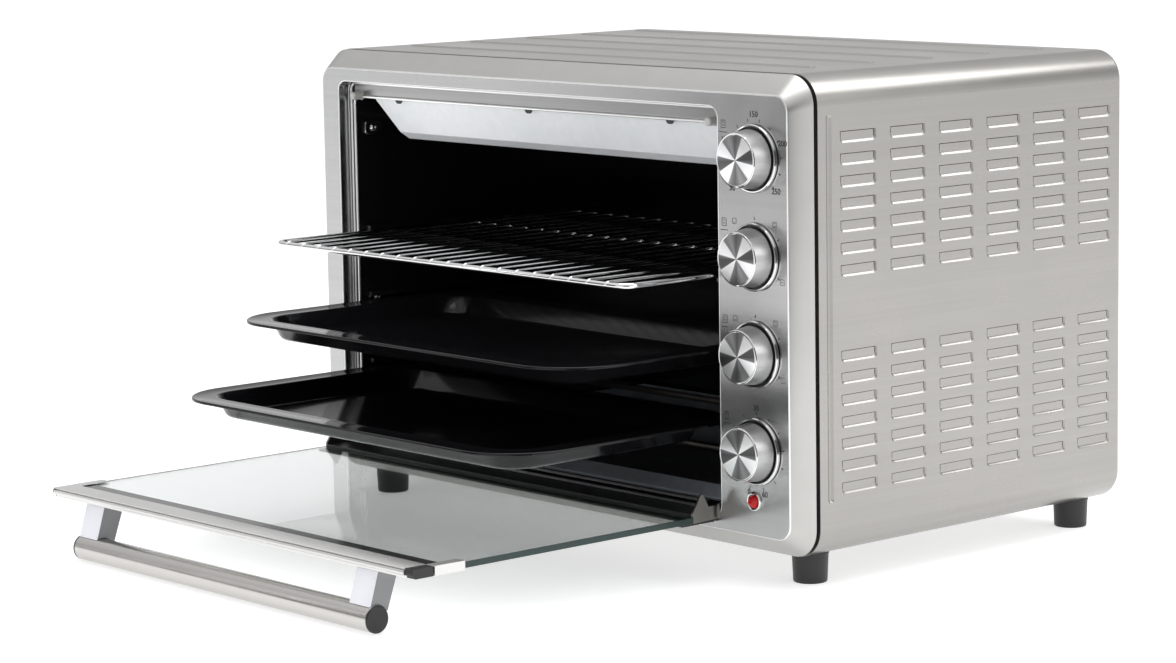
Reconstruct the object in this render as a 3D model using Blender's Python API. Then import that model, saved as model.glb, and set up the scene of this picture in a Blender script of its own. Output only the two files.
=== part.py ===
"""Countertop toaster oven with the drop-down door open and the rack and trays pulled out.

The oven is modelled in its own frame: X to the right with 0 at the middle of the body, Y to the
back with 0 at the face of the front bezel, Z up with 0 at the underside of the body. Everything
hangs on the empty oven_frame, which puts the origin on the table under the middle of the part.
"""
import math

import bmesh
import bpy
from mathutils import Matrix, Vector

MM = 0.001
GAP = 0.3 * MM
SHEET = 1.0 * MM

# ---- driving dimensions: body ----
BODY_WIDTH = 600 * MM
BODY_HEIGHT = 375 * MM
BODY_DEPTH = 378 * MM
CORNER_RADIUS = 24 * MM
BEZEL_DEPTH = 18.5 * MM
BEZEL_SLOPE_SIDE = 10.7 * MM
BEZEL_SLOPE_TOP = 15.2 * MM
BEZEL_GROOVE = 3.5 * MM
FRAME_LEFT = 33.6 * MM
PANEL_WIDTH = 87.9 * MM
FRAME_TOP = 27 * MM
FRAME_BOTTOM = 26 * MM
OPENING_RADIUS = 9 * MM
JAMB_DEPTH = 14 * MM
FOOT_HEIGHT = 25.4 * MM
FOOT_TOP_RADIUS = 15 * MM
FOOT_TIP_RADIUS = 13.5 * MM
FOOT_INSET_SIDE = 37 * MM
FOOT_INSET_FRONT = 47.5 * MM
FOOT_INSET_BACK = 20.5 * MM
RIB_COUNT = 5
RIB_FIRST_Y = 80 * MM
RIB_PITCH = 67 * MM
RIB_WIDTH = 8 * MM
RIB_HEIGHT = 1.0 * MM
RIB_END_LEFT = 38 * MM
RIB_END_RIGHT = 60 * MM
LOUVRE_COLUMNS = 6
LOUVRE_ROWS = 7
LOUVRE_FIRST_Y = 46 * MM
LOUVRE_LENGTH = 40 * MM
LOUVRE_PITCH_Y = 55.4 * MM
LOUVRE_SLIT = 3 * MM
LOUVRE_PITCH_Z = 17.2 * MM
LOUVRE_TOP_BELOW_ROOF = 46 * MM
LOUVRE_LOWER_FIRST_Z = 159.4 * MM
BACK_RECESS = 6 * MM
BACK_VENT_COUNT = 9
BACK_VENT_PITCH = 44 * MM
BACK_VENT_SIZE = (4 * MM, 52 * MM)

# ---- driving dimensions: cavity ----
MOUTH_MARGIN = 7.2 * MM
MOUTH_RADIUS = 2.5 * MM
LINTEL_HEIGHT = 14 * MM
SILL_HEIGHT = 8.2 * MM
CAVITY_BACK_SPACE = 22 * MM
SHELF_LOWER_Z = 96.5 * MM
SHELF_PITCH = 59 * MM
GUIDE_REACH = 14 * MM
GUIDE_THICKNESS = 3.5 * MM
GUIDE_SLOT = 5 * MM
GUIDE_BACK_GAP = 12 * MM
HEATER_RADIUS = 3.2 * MM
HEATER_PIN_RADIUS = 1.4 * MM
HEATER_FRONT_Y = 95 * MM
HEATER_BACK_INSET = 95 * MM
HEATER_LOWER_Z = 56 * MM
HEATER_ROOF_GAP = 24 * MM
HEATER_SIDES = 12

# ---- driving dimensions: trays and rack ----
TRAY_SIDE_GAP = 9.5 * MM
TRAY_RIM = 22 * MM
TRAY_DRAFT = 8 * MM
TRAY_PAN_DEPTH = 17 * MM
TRAY_CURL = 2.2 * MM
TRAY_CORNER = 55 * MM
TRAY_BACK_GAP = 3 * MM
LOWER_TRAY_OUT = 204 * MM
UPPER_TRAY_OUT = 145 * MM
RACK_OUT = 87.2 * MM
TRAY_SHUT_Y = 94 * MM
RACK_SHUT_Y = 14 * MM
RACK_SIDE_GAP = 6 * MM
RACK_FRAME_RADIUS = 2.5 * MM
RACK_WIRE_RADIUS = 1.5 * MM
RACK_WIRE_PITCH = 21.5 * MM
RACK_CORNER = 14 * MM
RACK_CROSS_Y = 131 * MM
CRUMB_SIDE_GAP = 3 * MM
CRUMB_FRONT_GAP = 2 * MM
CRUMB_BACK_GAP = 10 * MM
CRUMB_LIP_RISE = 9.5 * MM
CRUMB_WALL_RISE = 7 * MM

# ---- driving dimensions: door ----
HINGE_Y = 2 * MM
HINGE_Z = 29.5 * MM
HINGE_PIN_RADIUS = 2 * MM
HINGE_CLEARANCE = 0.35 * MM
DOOR_SIDE_GAP = 2.3 * MM
DOOR_REACH = 312 * MM
DOOR_INNER_DROP = 1.0 * MM
GLASS_THICKNESS = 5 * MM
GLASS_HINGE_GAP = 29.3 * MM
RAIL_HINGE_GAP = 3.2 * MM
RAIL_DEPTH = 21 * MM
RAIL_WALL = 1.2 * MM
RAIL_SLOT = 16 * MM
HINGE_ARM_THICKNESS = 2.2 * MM
HINGE_ARM_RADIUS = 5.5 * MM
HINGE_EAR_RISE = 17 * MM
CLIP_LENGTH = 29 * MM
CLIP_GRIP = 9 * MM
HANDLE_RADIUS = 10.5 * MM
HANDLE_WALL = 1.2 * MM
HANDLE_INSET = 44 * MM
HANDLE_DROP = 42.5 * MM
HANDLE_FORWARD = 1 * MM
ARM_WIDTH = 26 * MM
CAP_THICKNESS = 2 * MM
BUMPER_SIZE = 11 * MM

# ---- driving dimensions: controls ----
KNOB_COUNT = 4
KNOB_FROM_SIDE = 47.2 * MM
KNOB_TOP_BELOW_ROOF = 64.8 * MM
KNOB_BOTTOM_Z = 82.5 * MM
KNOB_RADIUS = 21 * MM
KNOB_SKIRT_RADIUS = 22 * MM
KNOB_RING_RADIUS = 26.5 * MM
KNOB_REACH = 19.9 * MM
SHAFT_RADIUS = 3 * MM
SHAFT_CLEARANCE = 0.35 * MM
CONTROL_SIZE = 36 * MM
CONTROL_DEPTH = 28 * MM
PILOT_Z = 43 * MM
PILOT_FROM_SIDE = 49.6 * MM
PILOT_RADIUS = 6 * MM

# ---- driving dimensions: convection fan ----
FAN_RADIUS = 50 * MM
FAN_HOUSING_DEPTH = 22 * MM
FAN_SHAFT_RADIUS = 2.5 * MM
FAN_BLADES = 8
MOTOR_RADIUS = 28 * MM
MOTOR_LENGTH = 38 * MM

# ---- places that follow from the driving dimensions ----
SIDE = BODY_WIDTH / 2
OPENING_LEFT = -SIDE + FRAME_LEFT
OPENING_RIGHT = SIDE - PANEL_WIDTH
OPENING_TOP = BODY_HEIGHT - FRAME_TOP
OPENING_BOTTOM = FRAME_BOTTOM
CAVITY_LEFT = OPENING_LEFT + MOUTH_MARGIN
CAVITY_RIGHT = OPENING_RIGHT - MOUTH_MARGIN
CAVITY_FLOOR = OPENING_BOTTOM + SILL_HEIGHT
CAVITY_TOP = OPENING_TOP - LINTEL_HEIGHT
CAVITY_BACK = BODY_DEPTH - CAVITY_BACK_SPACE
FLANGE_Y = JAMB_DEPTH + GAP
CAVITY_Y = FLANGE_Y + SHEET + GAP
WRAPPER_Y = BEZEL_DEPTH + BEZEL_GROOVE
BACK_Y = BODY_DEPTH - BACK_RECESS
MIDDLE = (OPENING_LEFT + OPENING_RIGHT) / 2
DOOR_LEFT = OPENING_LEFT + DOOR_SIDE_GAP
DOOR_RIGHT = OPENING_RIGHT - DOOR_SIDE_GAP
DOOR_FRONT = HINGE_Y - DOOR_REACH
DOOR_INNER_Z = HINGE_Z - DOOR_INNER_DROP
GLASS_LOW_Z = DOOR_INNER_Z - GLASS_THICKNESS
GLASS_BACK_Y = HINGE_Y - GLASS_HINGE_GAP
HANDLE_Y = DOOR_FRONT + HANDLE_FORWARD
HANDLE_Z = DOOR_INNER_Z - HANDLE_DROP
HANDLE_LEFT = DOOR_LEFT + HANDLE_INSET
HANDLE_RIGHT = DOOR_RIGHT - HANDLE_INSET
SHELF_UPPER_Z = SHELF_LOWER_Z + SHELF_PITCH
SHELF_RACK_Z = SHELF_UPPER_Z + SHELF_PITCH
KNOB_X = SIDE - KNOB_FROM_SIDE
KNOB_TOP_Z = BODY_HEIGHT - KNOB_TOP_BELOW_ROOF
KNOB_PITCH = (KNOB_TOP_Z - KNOB_BOTTOM_Z) / (KNOB_COUNT - 1)
FAN_Y = (CAVITY_Y + CAVITY_BACK) / 2
FAN_Z = (CAVITY_FLOOR + CAVITY_TOP) / 2
PART_FRONT = min(DOOR_FRONT, HANDLE_Y - HANDLE_RADIUS)
ORIGIN_Y = (PART_FRONT + BODY_DEPTH) / 2

# ---- an empty scene and the frame that carries the whole oven ----
for old in list(bpy.data.objects):
    bpy.data.objects.remove(old, do_unlink=True)

FRAME = bpy.data.objects.new("oven_frame", None)
FRAME.location = (0, -ORIGIN_Y, FOOT_HEIGHT)
bpy.context.scene.collection.objects.link(FRAME)


# ---- modelling helpers ----
def material(name, colour, roughness, metallic=0.0):
    """A Principled material for one finish."""
    made = bpy.data.materials.new(name)
    made.use_nodes = True
    shader = made.node_tree.nodes["Principled BSDF"]
    shader.inputs["Base Color"].default_value = (*colour, 1)
    shader.inputs["Roughness"].default_value = roughness
    shader.inputs["Metallic"].default_value = metallic
    return made


def place(u, v, w, axis):
    """Outline coordinates (u, v) and a position w along the axis, as a point."""
    if axis == "X":
        return Vector((w, u, v))
    if axis == "Y":
        return Vector((u, w, v))
    return Vector((u, v, w))


def loft(bm, rings, axis, closed=False):
    """Skins rings of (outline, position) into a closed body; closed joins the last to the first."""
    loops = [[bm.verts.new(place(u, v, w, axis)) for u, v in outline] for outline, w in rings]
    pairs = list(zip(loops, loops[1:]))
    if closed:
        pairs.append((loops[-1], loops[0]))
    faces = []
    for first, second in pairs:
        count = len(first)
        for i in range(count):
            j = (i + 1) % count
            faces.append(bm.faces.new((first[i], first[j], second[j], second[i])))
    if not closed:
        faces.append(bm.faces.new(loops[0]))
        faces.append(bm.faces.new(loops[-1]))
    bmesh.ops.recalc_face_normals(bm, faces=faces)


def block(bm, low, high):
    """A box between two opposite corners."""
    low, high = Vector(low), Vector(high)
    size = Matrix.Diagonal((*(high - low), 1))
    bmesh.ops.create_cube(bm, size=1, matrix=Matrix.Translation((low + high) / 2) @ size)


def circle(u, v, radius, sides, turn=0.0):
    """A round outline."""
    steps = [2 * math.pi * i / sides + turn for i in range(sides)]
    return [(u + radius * math.cos(a), v + radius * math.sin(a)) for a in steps]


def rounded(u0, u1, v0, v1, radius, steps=5):
    """A rectangle outline with round corners."""
    corners = ((u1 - radius, v1 - radius, 0), (u0 + radius, v1 - radius, 1),
               (u0 + radius, v0 + radius, 2), (u1 - radius, v0 + radius, 3))
    points = []
    for cu, cv, quarter in corners:
        for i in range(steps + 1):
            angle = math.pi / 2 * (quarter + i / steps)
            points.append((cu + radius * math.cos(angle), cv + radius * math.sin(angle)))
    return points


def turned(bm, profile, centre, axis, sides, closed=False):
    """A turned body from (radius, position) points round a centre (u, v)."""
    rings = [(circle(*centre, radius, sides), w) for radius, w in profile]
    loft(bm, rings, axis, closed)


def add(name, bm, finish, smooth=True):
    """Makes the bmesh a named object on the oven frame."""
    mesh = bpy.data.meshes.new(name)
    bm.to_mesh(mesh)
    bm.free()
    made = bpy.data.objects.new(name, mesh)
    bpy.context.scene.collection.objects.link(made)
    made.parent = FRAME
    if finish:
        mesh.materials.append(finish)
    if smooth:
        mesh.shade_smooth()
        mesh.set_sharp_from_angle(angle=math.radians(30))
    return made


def tool(name, bm):
    """A cutter, which the finished model leaves out."""
    made = add(name, bm, None, smooth=False)
    made.hide_render = True
    made.display_type = "WIRE"
    return made


def combine(target, other, operation, self_crossing=False):
    """A live Boolean with a cutter or an addition."""
    step = target.modifiers.new(operation.title(), "BOOLEAN")
    step.operation = operation
    step.object = other
    step.solver = "EXACT"
    step.use_self = self_crossing


def on_axis(made, y, z, x=0.0):
    """Moves an object's origin onto its joint's axis and leaves its mesh where it is."""
    centre = Vector((x, y, z))
    made.data.transform(Matrix.Translation(-centre))
    made.location = centre


STEEL = material("brushed_steel", (0.60, 0.59, 0.57), 0.32, 1.0)
ENAMEL = material("black_enamel", (0.012, 0.012, 0.013), 0.12)
GALVANISED = material("galvanised_sheet", (0.55, 0.57, 0.60), 0.38, 1.0)
CHROME = material("chrome", (0.80, 0.80, 0.80), 0.08, 1.0)
BLACK_PLASTIC = material("black_plastic", (0.02, 0.02, 0.02), 0.45)
BLACK_METAL = material("black_painted_steel", (0.02, 0.02, 0.02), 0.3)
GLASS = material("door_glass", (0.75, 0.80, 0.79), 0.02)
RED = material("red_lens", (0.60, 0.01, 0.01), 0.1)
SILICONE = material("white_silicone", (0.75, 0.74, 0.70), 0.6)
CERAMIC = material("ceramic", (0.80, 0.78, 0.72), 0.5)


# ---- front bezel: one pressed sheet with a sloped band, the door opening and the panel holes ----
def bezel_rings(offset, front, back):
    """The sloped band and the flat face of the bezel, drawn in by an offset."""
    rear = rounded(-SIDE + offset, SIDE - offset, offset, BODY_HEIGHT - offset,
                   CORNER_RADIUS - offset)
    side, top = BEZEL_SLOPE_SIDE + offset * 0.6, BEZEL_SLOPE_TOP + offset * 0.6
    face = rounded(-SIDE + side, SIDE - side, top, BODY_HEIGHT - top,
                   CORNER_RADIUS - BEZEL_SLOPE_SIDE)
    return [(face, front), (rear, back)]


def opening_outline(offset):
    """The door opening, widened by an offset."""
    return rounded(OPENING_LEFT - offset, OPENING_RIGHT + offset, OPENING_BOTTOM - offset,
                   OPENING_TOP + offset, OPENING_RADIUS + offset)


bm = bmesh.new()
loft(bm, bezel_rings(0, 0, BEZEL_DEPTH), "Y")
bezel = add("front_bezel", bm, STEEL)

bm = bmesh.new()
loft(bm, bezel_rings(SHEET, SHEET, BEZEL_DEPTH + SHEET * 0.5), "Y")
bezel_pocket = tool("cut_bezel_pocket", bm)
bm = bmesh.new()
loft(bm, [(opening_outline(SHEET), -SHEET), (opening_outline(SHEET), JAMB_DEPTH)], "Y")
combine(bezel_pocket, tool("keep_bezel_jamb", bm), "DIFFERENCE")
combine(bezel, bezel_pocket, "DIFFERENCE")

bm = bmesh.new()
loft(bm, [(opening_outline(0), -SHEET), (opening_outline(0), BEZEL_DEPTH + SHEET)], "Y")
combine(bezel, tool("cut_bezel_opening", bm), "DIFFERENCE")

HINGE_ARM_OUT = OPENING_RIGHT - 3.4 * MM
HINGE_ARM_IN = HINGE_ARM_OUT - HINGE_ARM_THICKNESS
MOUNT_IN = HINGE_ARM_OUT + 0.4 * MM
MOUNT_OUT = OPENING_RIGHT - 1.0 * MM


def both_sides(low_x, high_x):
    """A stretch of X at the right hinge, and its mirror image at the left hinge."""
    return ((low_x, high_x), (2 * MIDDLE - high_x, 2 * MIDDLE - low_x))


bm = bmesh.new()
for x0, x1 in both_sides(HINGE_ARM_IN - 0.6 * MM, OPENING_RIGHT - 0.2 * MM):
    block(bm, (x0, -SHEET, HINGE_Z - 9 * MM), (x1, JAMB_DEPTH + SHEET, HINGE_Z + 8.5 * MM))
combine(bezel, tool("cut_bezel_hinge_notches", bm), "DIFFERENCE")

BUSHING_RADIUS = 4.5 * MM
knob_heights = [KNOB_TOP_Z - KNOB_PITCH * i for i in range(KNOB_COUNT)]
bm = bmesh.new()
for height in knob_heights:
    turned(bm, [(BUSHING_RADIUS + GAP, -SHEET), (BUSHING_RADIUS + GAP, SHEET * 2)],
           (KNOB_X, height), "Y", 12)
PILOT_X = SIDE - PILOT_FROM_SIDE
turned(bm, [(PILOT_RADIUS - SHEET, -SHEET), (PILOT_RADIUS - SHEET, SHEET * 2)],
       (PILOT_X, PILOT_Z), "Y", 12)
combine(bezel, tool("cut_bezel_panel_holes", bm), "DIFFERENCE")


# ---- outer wrapper: one bent sheet round the sides and the roof, with louvre slits and ribs ----
def body_outline(offset):
    """The body's cross-section, drawn in by an offset."""
    return rounded(-SIDE + offset, SIDE - offset, offset, BODY_HEIGHT - offset,
                   CORNER_RADIUS - offset)


bm = bmesh.new()
loft(bm, [(body_outline(0), WRAPPER_Y), (body_outline(0), BODY_DEPTH)], "Y")
wrapper = add("outer_wrapper", bm, STEEL)
bm = bmesh.new()
loft(bm, [(body_outline(SHEET), 0), (body_outline(SHEET), BODY_DEPTH + SHEET)], "Y")
combine(wrapper, tool("cut_wrapper_inside", bm), "DIFFERENCE")
bm = bmesh.new()
WRAPPER_UNDER_LIP = SIDE - 60 * MM
block(bm, (-WRAPPER_UNDER_LIP, 0, -SHEET), (WRAPPER_UNDER_LIP, BODY_DEPTH * 1.1, SHEET * 3))
combine(wrapper, tool("cut_wrapper_underside", bm), "DIFFERENCE")

bm = bmesh.new()
for index in range(RIB_COUNT):
    y = RIB_FIRST_Y + RIB_PITCH * index
    slope = RIB_WIDTH * 0.3
    rib = [(y - RIB_WIDTH / 2, BODY_HEIGHT - SHEET * 0.5),
           (y + RIB_WIDTH / 2, BODY_HEIGHT - SHEET * 0.5),
           (y + slope, BODY_HEIGHT + RIB_HEIGHT), (y - slope, BODY_HEIGHT + RIB_HEIGHT)]
    loft(bm, [(rib, -SIDE + RIB_END_LEFT), (rib, SIDE - RIB_END_RIGHT)], "X")
combine(wrapper, tool("add_wrapper_ribs", bm), "UNION")

bm = bmesh.new()
row_starts = (BODY_HEIGHT - LOUVRE_TOP_BELOW_ROOF, LOUVRE_LOWER_FIRST_Z)
for start in row_starts:
    for row in range(LOUVRE_ROWS):
        for column in range(LOUVRE_COLUMNS):
            z = start - LOUVRE_PITCH_Z * row
            y = LOUVRE_FIRST_Y + LOUVRE_PITCH_Y * column
            for x in (-SIDE, SIDE):
                block(bm, (x - 2 * SHEET, y, z - LOUVRE_SLIT / 2),
                      (x + 2 * SHEET, y + LOUVRE_LENGTH, z + LOUVRE_SLIT / 2))
combine(wrapper, tool("cut_wrapper_louvres", bm), "DIFFERENCE")

# ---- back panel, base pan, cord gland and feet ----
bm = bmesh.new()
back = body_outline(SHEET + GAP)
loft(bm, [(back, BACK_Y), (back, BACK_Y + SHEET)], "Y")
back_panel = add("back_panel", bm, STEEL)
GLAND_X = SIDE - 42 * MM
GLAND_Z = 52 * MM
GLAND_RADIUS = 7 * MM
bm = bmesh.new()
for index in range(BACK_VENT_COUNT):
    x = (index - (BACK_VENT_COUNT - 1) / 2) * BACK_VENT_PITCH
    for z in (BODY_HEIGHT * 0.28, BODY_HEIGHT * 0.74):
        block(bm, (x - BACK_VENT_SIZE[0] / 2, BACK_Y - SHEET, z - BACK_VENT_SIZE[1] / 2),
              (x + BACK_VENT_SIZE[0] / 2, BACK_Y + SHEET * 2, z + BACK_VENT_SIZE[1] / 2))
turned(bm, [(GLAND_RADIUS + GAP, BACK_Y - SHEET), (GLAND_RADIUS + GAP, BACK_Y + SHEET * 2)],
       (GLAND_X, GLAND_Z), "Y", 16)
combine(back_panel, tool("cut_back_panel", bm), "DIFFERENCE")

bm = bmesh.new()
bore, collar = 3.6 * MM, GLAND_RADIUS + 2.5 * MM
turned(bm, [(bore, BACK_Y - 4 * MM), (collar, BACK_Y - 4 * MM), (collar, BACK_Y - GAP),
            (GLAND_RADIUS, BACK_Y - GAP), (GLAND_RADIUS, BACK_Y + SHEET + 2 * MM),
            (GLAND_RADIUS - MM, BODY_DEPTH - 1 * MM), (bore, BODY_DEPTH - 1 * MM)],
       (GLAND_X, GLAND_Z), "Y", 16, closed=True)
add("cord_gland", bm, BLACK_PLASTIC)

bm = bmesh.new()
base_side = SIDE - CORNER_RADIUS - 4 * MM
block(bm, (-base_side, WRAPPER_Y + GAP, SHEET + GAP), (base_side, BACK_Y - GAP, 2 * SHEET + GAP))
base_pan = add("base_pan", bm, STEEL)
bm = bmesh.new()
for index in range(7):
    x = (index - 3) * 60 * MM
    block(bm, (x - 3 * MM, BODY_DEPTH * 0.4, 0), (x + 3 * MM, BODY_DEPTH * 0.6, 4 * SHEET))
combine(base_pan, tool("cut_base_vents", bm), "DIFFERENCE")

for side_name, x in (("left", -SIDE + FOOT_INSET_SIDE), ("right", SIDE - FOOT_INSET_SIDE)):
    for end_name, y in (("front", FOOT_INSET_FRONT), ("rear", BODY_DEPTH - FOOT_INSET_BACK)):
        bm = bmesh.new()
        turned(bm, [(FOOT_TIP_RADIUS - MM, -FOOT_HEIGHT), (FOOT_TIP_RADIUS, -FOOT_HEIGHT + MM),
                    (FOOT_TOP_RADIUS, -GAP)], (x, y), "Z", 24)
        add(f"foot_{end_name}_{side_name}", bm, BLACK_PLASTIC)

# ---- cavity: enamelled box with three pairs of shelf guides ----
CAVITY_LOW = (CAVITY_LEFT - SHEET, CAVITY_Y, CAVITY_FLOOR - SHEET)
CAVITY_HIGH = (CAVITY_RIGHT + SHEET, CAVITY_BACK + SHEET, CAVITY_TOP + SHEET)
bm = bmesh.new()
block(bm, CAVITY_LOW, CAVITY_HIGH)
cavity = add("cavity_shell", bm, ENAMEL, smooth=False)
bm = bmesh.new()
block(bm, (CAVITY_LEFT, 0, CAVITY_FLOOR), (CAVITY_RIGHT, CAVITY_BACK, CAVITY_TOP))
combine(cavity, tool("cut_cavity_inside", bm), "DIFFERENCE")

bm = bmesh.new()
guide_levels = (SHELF_LOWER_Z - TRAY_CURL, SHELF_UPPER_Z - TRAY_CURL,
                SHELF_RACK_Z - RACK_FRAME_RADIUS)
for seat in guide_levels:
    for wall_x, inward in ((CAVITY_LEFT, 1), (CAVITY_RIGHT, -1)):
        for low in (seat - GAP - GUIDE_THICKNESS, seat - GAP + GUIDE_SLOT + GAP):
            reach = GUIDE_REACH if low < seat else GUIDE_REACH - 4 * MM
            xs = sorted((wall_x - inward * SHEET / 2, wall_x + inward * reach))
            block(bm, (xs[0], CAVITY_Y + 3 * MM, low),
                  (xs[1], CAVITY_BACK - GUIDE_BACK_GAP, low + GUIDE_THICKNESS))
combine(cavity, tool("add_shelf_guides", bm), "UNION")

heater_rows = {
    "lower_heater_front": (HEATER_FRONT_Y, HEATER_LOWER_Z),
    "lower_heater_rear": (CAVITY_BACK - HEATER_BACK_INSET, HEATER_LOWER_Z),
    "upper_heater_front": (HEATER_FRONT_Y, CAVITY_TOP - HEATER_ROOF_GAP),
    "upper_heater_rear": (CAVITY_BACK - HEATER_BACK_INSET, CAVITY_TOP - HEATER_ROOF_GAP),
}
bm = bmesh.new()
for y, z in heater_rows.values():
    for x in (CAVITY_LEFT, CAVITY_RIGHT):
        turned(bm, [(HEATER_RADIUS + GAP, x - 4 * MM), (HEATER_RADIUS + GAP, x + 4 * MM)],
               (y, z), "X", HEATER_SIDES)
turned(bm, [(FAN_RADIUS, CAVITY_RIGHT - 4 * MM), (FAN_RADIUS, CAVITY_RIGHT + 4 * MM)],
       (FAN_Y, FAN_Z), "X", 32)
combine(cavity, tool("cut_cavity_holes", bm), "DIFFERENCE")

for name, (y, z) in heater_rows.items():
    bm = bmesh.new()
    left, right = CAVITY_LEFT - 10 * MM, CAVITY_RIGHT + 10 * MM
    turned(bm, [(HEATER_PIN_RADIUS, left - 8 * MM), (HEATER_PIN_RADIUS, left),
                (HEATER_RADIUS, left), (HEATER_RADIUS, right), (HEATER_PIN_RADIUS, right),
                (HEATER_PIN_RADIUS, right + 8 * MM)], (y, z), "X", HEATER_SIDES)
    add(name, bm, GALVANISED)

# ---- front flange of the cavity, with the lintel and slots for the hinge ears ----
bm = bmesh.new()
outside = opening_outline(SHEET)
loft(bm, [(outside, FLANGE_Y), (outside, FLANGE_Y + SHEET)], "Y")
flange = add("cavity_front_flange", bm, ENAMEL)
bm = bmesh.new()
mouth = rounded(CAVITY_LEFT, CAVITY_RIGHT, CAVITY_FLOOR, CAVITY_TOP, MOUTH_RADIUS)
loft(bm, [(mouth, FLANGE_Y - SHEET), (mouth, FLANGE_Y + 2 * SHEET)], "Y")
EAR_SLOT_LOW = HINGE_Z + 8 * MM
EAR_SLOT_HIGH = HINGE_Z + 34 * MM
for x0, x1 in both_sides(CAVITY_RIGHT - 0.5 * MM, HINGE_ARM_OUT + 0.5 * MM):
    block(bm, (x0, FLANGE_Y - SHEET, EAR_SLOT_LOW), (x1, FLANGE_Y + 2 * SHEET, EAR_SLOT_HIGH))
combine(flange, tool("cut_flange_mouth", bm), "DIFFERENCE", self_crossing=True)

# ---- sloped reflector under the front of the ceiling ----
bm = bmesh.new()
HOOD_TOP_Y, HOOD_TOP_Z = CAVITY_Y + 1.5 * MM, CAVITY_TOP - GAP
HOOD_LOW_Y, HOOD_LOW_Z = CAVITY_Y + 15 * MM, CAVITY_TOP - 30 * MM
HOOD_LIP_Y, HOOD_LIP_Z = CAVITY_Y + 22 * MM, CAVITY_TOP - 36 * MM
HOOD_LEFT_TOP, HOOD_LEFT_LOW = CAVITY_LEFT + 22 * MM, CAVITY_LEFT + 40 * MM
HOOD_RIGHT = CAVITY_RIGHT - 4 * MM
outline = [(HOOD_TOP_Y, HOOD_TOP_Z, 0), (HOOD_LOW_Y, HOOD_LOW_Z, 1), (HOOD_LIP_Y, HOOD_LIP_Z, 1.2),
           (HOOD_LIP_Y + SHEET, HOOD_LIP_Z, 1.2), (HOOD_LOW_Y + SHEET, HOOD_LOW_Z + SHEET, 1),
           (HOOD_TOP_Y + SHEET, HOOD_TOP_Z, 0)]
ends = []
for blend_left, x in ((True, HOOD_LEFT_TOP), (False, HOOD_RIGHT)):
    slope = HOOD_LEFT_LOW - HOOD_LEFT_TOP
    ends.append([bm.verts.new((x + slope * share * blend_left, y, z)) for y, z, share in outline])
faces = [bm.faces.new(ends[0]), bm.faces.new(ends[1])]
for i in range(len(outline)):
    j = (i + 1) % len(outline)
    faces.append(bm.faces.new((ends[0][i], ends[0][j], ends[1][j], ends[1][i])))
bmesh.ops.recalc_face_normals(bm, faces=faces)
add("top_reflector", bm, GALVANISED, smooth=False)

# ---- crumb tray on the cavity floor, with a sloped front lip ----
CRUMB_LEFT, CRUMB_RIGHT = CAVITY_LEFT + CRUMB_SIDE_GAP, CAVITY_RIGHT - CRUMB_SIDE_GAP
CRUMB_Y0, CRUMB_Y1 = CAVITY_Y + CRUMB_FRONT_GAP, CAVITY_BACK - CRUMB_BACK_GAP
CRUMB_Z = CAVITY_FLOOR + GAP
bm = bmesh.new()
block(bm, (CRUMB_LEFT, CRUMB_Y0, CRUMB_Z), (CRUMB_RIGHT, CRUMB_Y1, CRUMB_Z + CRUMB_WALL_RISE))
crumb_tray = add("crumb_tray", bm, GALVANISED, smooth=False)
bm = bmesh.new()
block(bm, (CRUMB_LEFT + SHEET, CRUMB_Y0 + 3 * SHEET, CRUMB_Z + SHEET),
      (CRUMB_RIGHT - SHEET, CRUMB_Y1 - SHEET, CRUMB_Z + 2 * CRUMB_WALL_RISE))
combine(crumb_tray, tool("cut_crumb_tray", bm), "DIFFERENCE")
bm = bmesh.new()
lip = [(CRUMB_Y0, CRUMB_Z), (CRUMB_Y0 + 5 * SHEET, CRUMB_Z),
       (CRUMB_Y0 + CRUMB_LIP_RISE + SHEET, CRUMB_Z + CRUMB_LIP_RISE - SHEET),
       (CRUMB_Y0 + CRUMB_LIP_RISE, CRUMB_Z + CRUMB_LIP_RISE)]
loft(bm, [(lip, CRUMB_LEFT), (lip, CRUMB_RIGHT)], "X")
combine(crumb_tray, tool("add_crumb_lip", bm), "UNION")
bm = bmesh.new()
wedge = [(CRUMB_Y0 - SHEET, CRUMB_Z), (CRUMB_Y0 - SHEET, CRUMB_Z + 2 * CRUMB_WALL_RISE),
         (CRUMB_Y0 - SHEET + 2 * CRUMB_WALL_RISE, CRUMB_Z + 2 * CRUMB_WALL_RISE + SHEET * 0.5)]
wedge = [(y + SHEET * 0.5, z + SHEET * 0.5) for y, z in wedge]
loft(bm, [(wedge, CRUMB_LEFT - SHEET), (wedge, CRUMB_RIGHT + SHEET)], "X")
combine(crumb_tray, tool("cut_crumb_front", bm), "DIFFERENCE")


# ---- baking trays and wire rack ----
def tray_section(front_y, back_y, rim_z):
    """Rings of a pressed pan from its curled edge, over the rim, into the pan and back below."""
    left, right = CAVITY_LEFT + TRAY_SIDE_GAP, CAVITY_RIGHT - TRAY_SIDE_GAP

    def ring(inset, drop):
        outline = rounded(left + inset, right - inset, front_y + inset, back_y - inset,
                          TRAY_CORNER - inset, 4)
        return outline, rim_z - drop

    pan = TRAY_RIM + TRAY_DRAFT
    return [ring(pan, TRAY_PAN_DEPTH), ring(TRAY_RIM, 0.4 * MM), ring(0.6 * MM, 0), ring(0, 0.6 * MM),
            ring(0, TRAY_CURL), ring(SHEET, TRAY_CURL), ring(SHEET, SHEET),
            ring(TRAY_RIM - SHEET, SHEET + 0.4 * MM), ring(pan - SHEET, TRAY_PAN_DEPTH + SHEET)]


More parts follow.
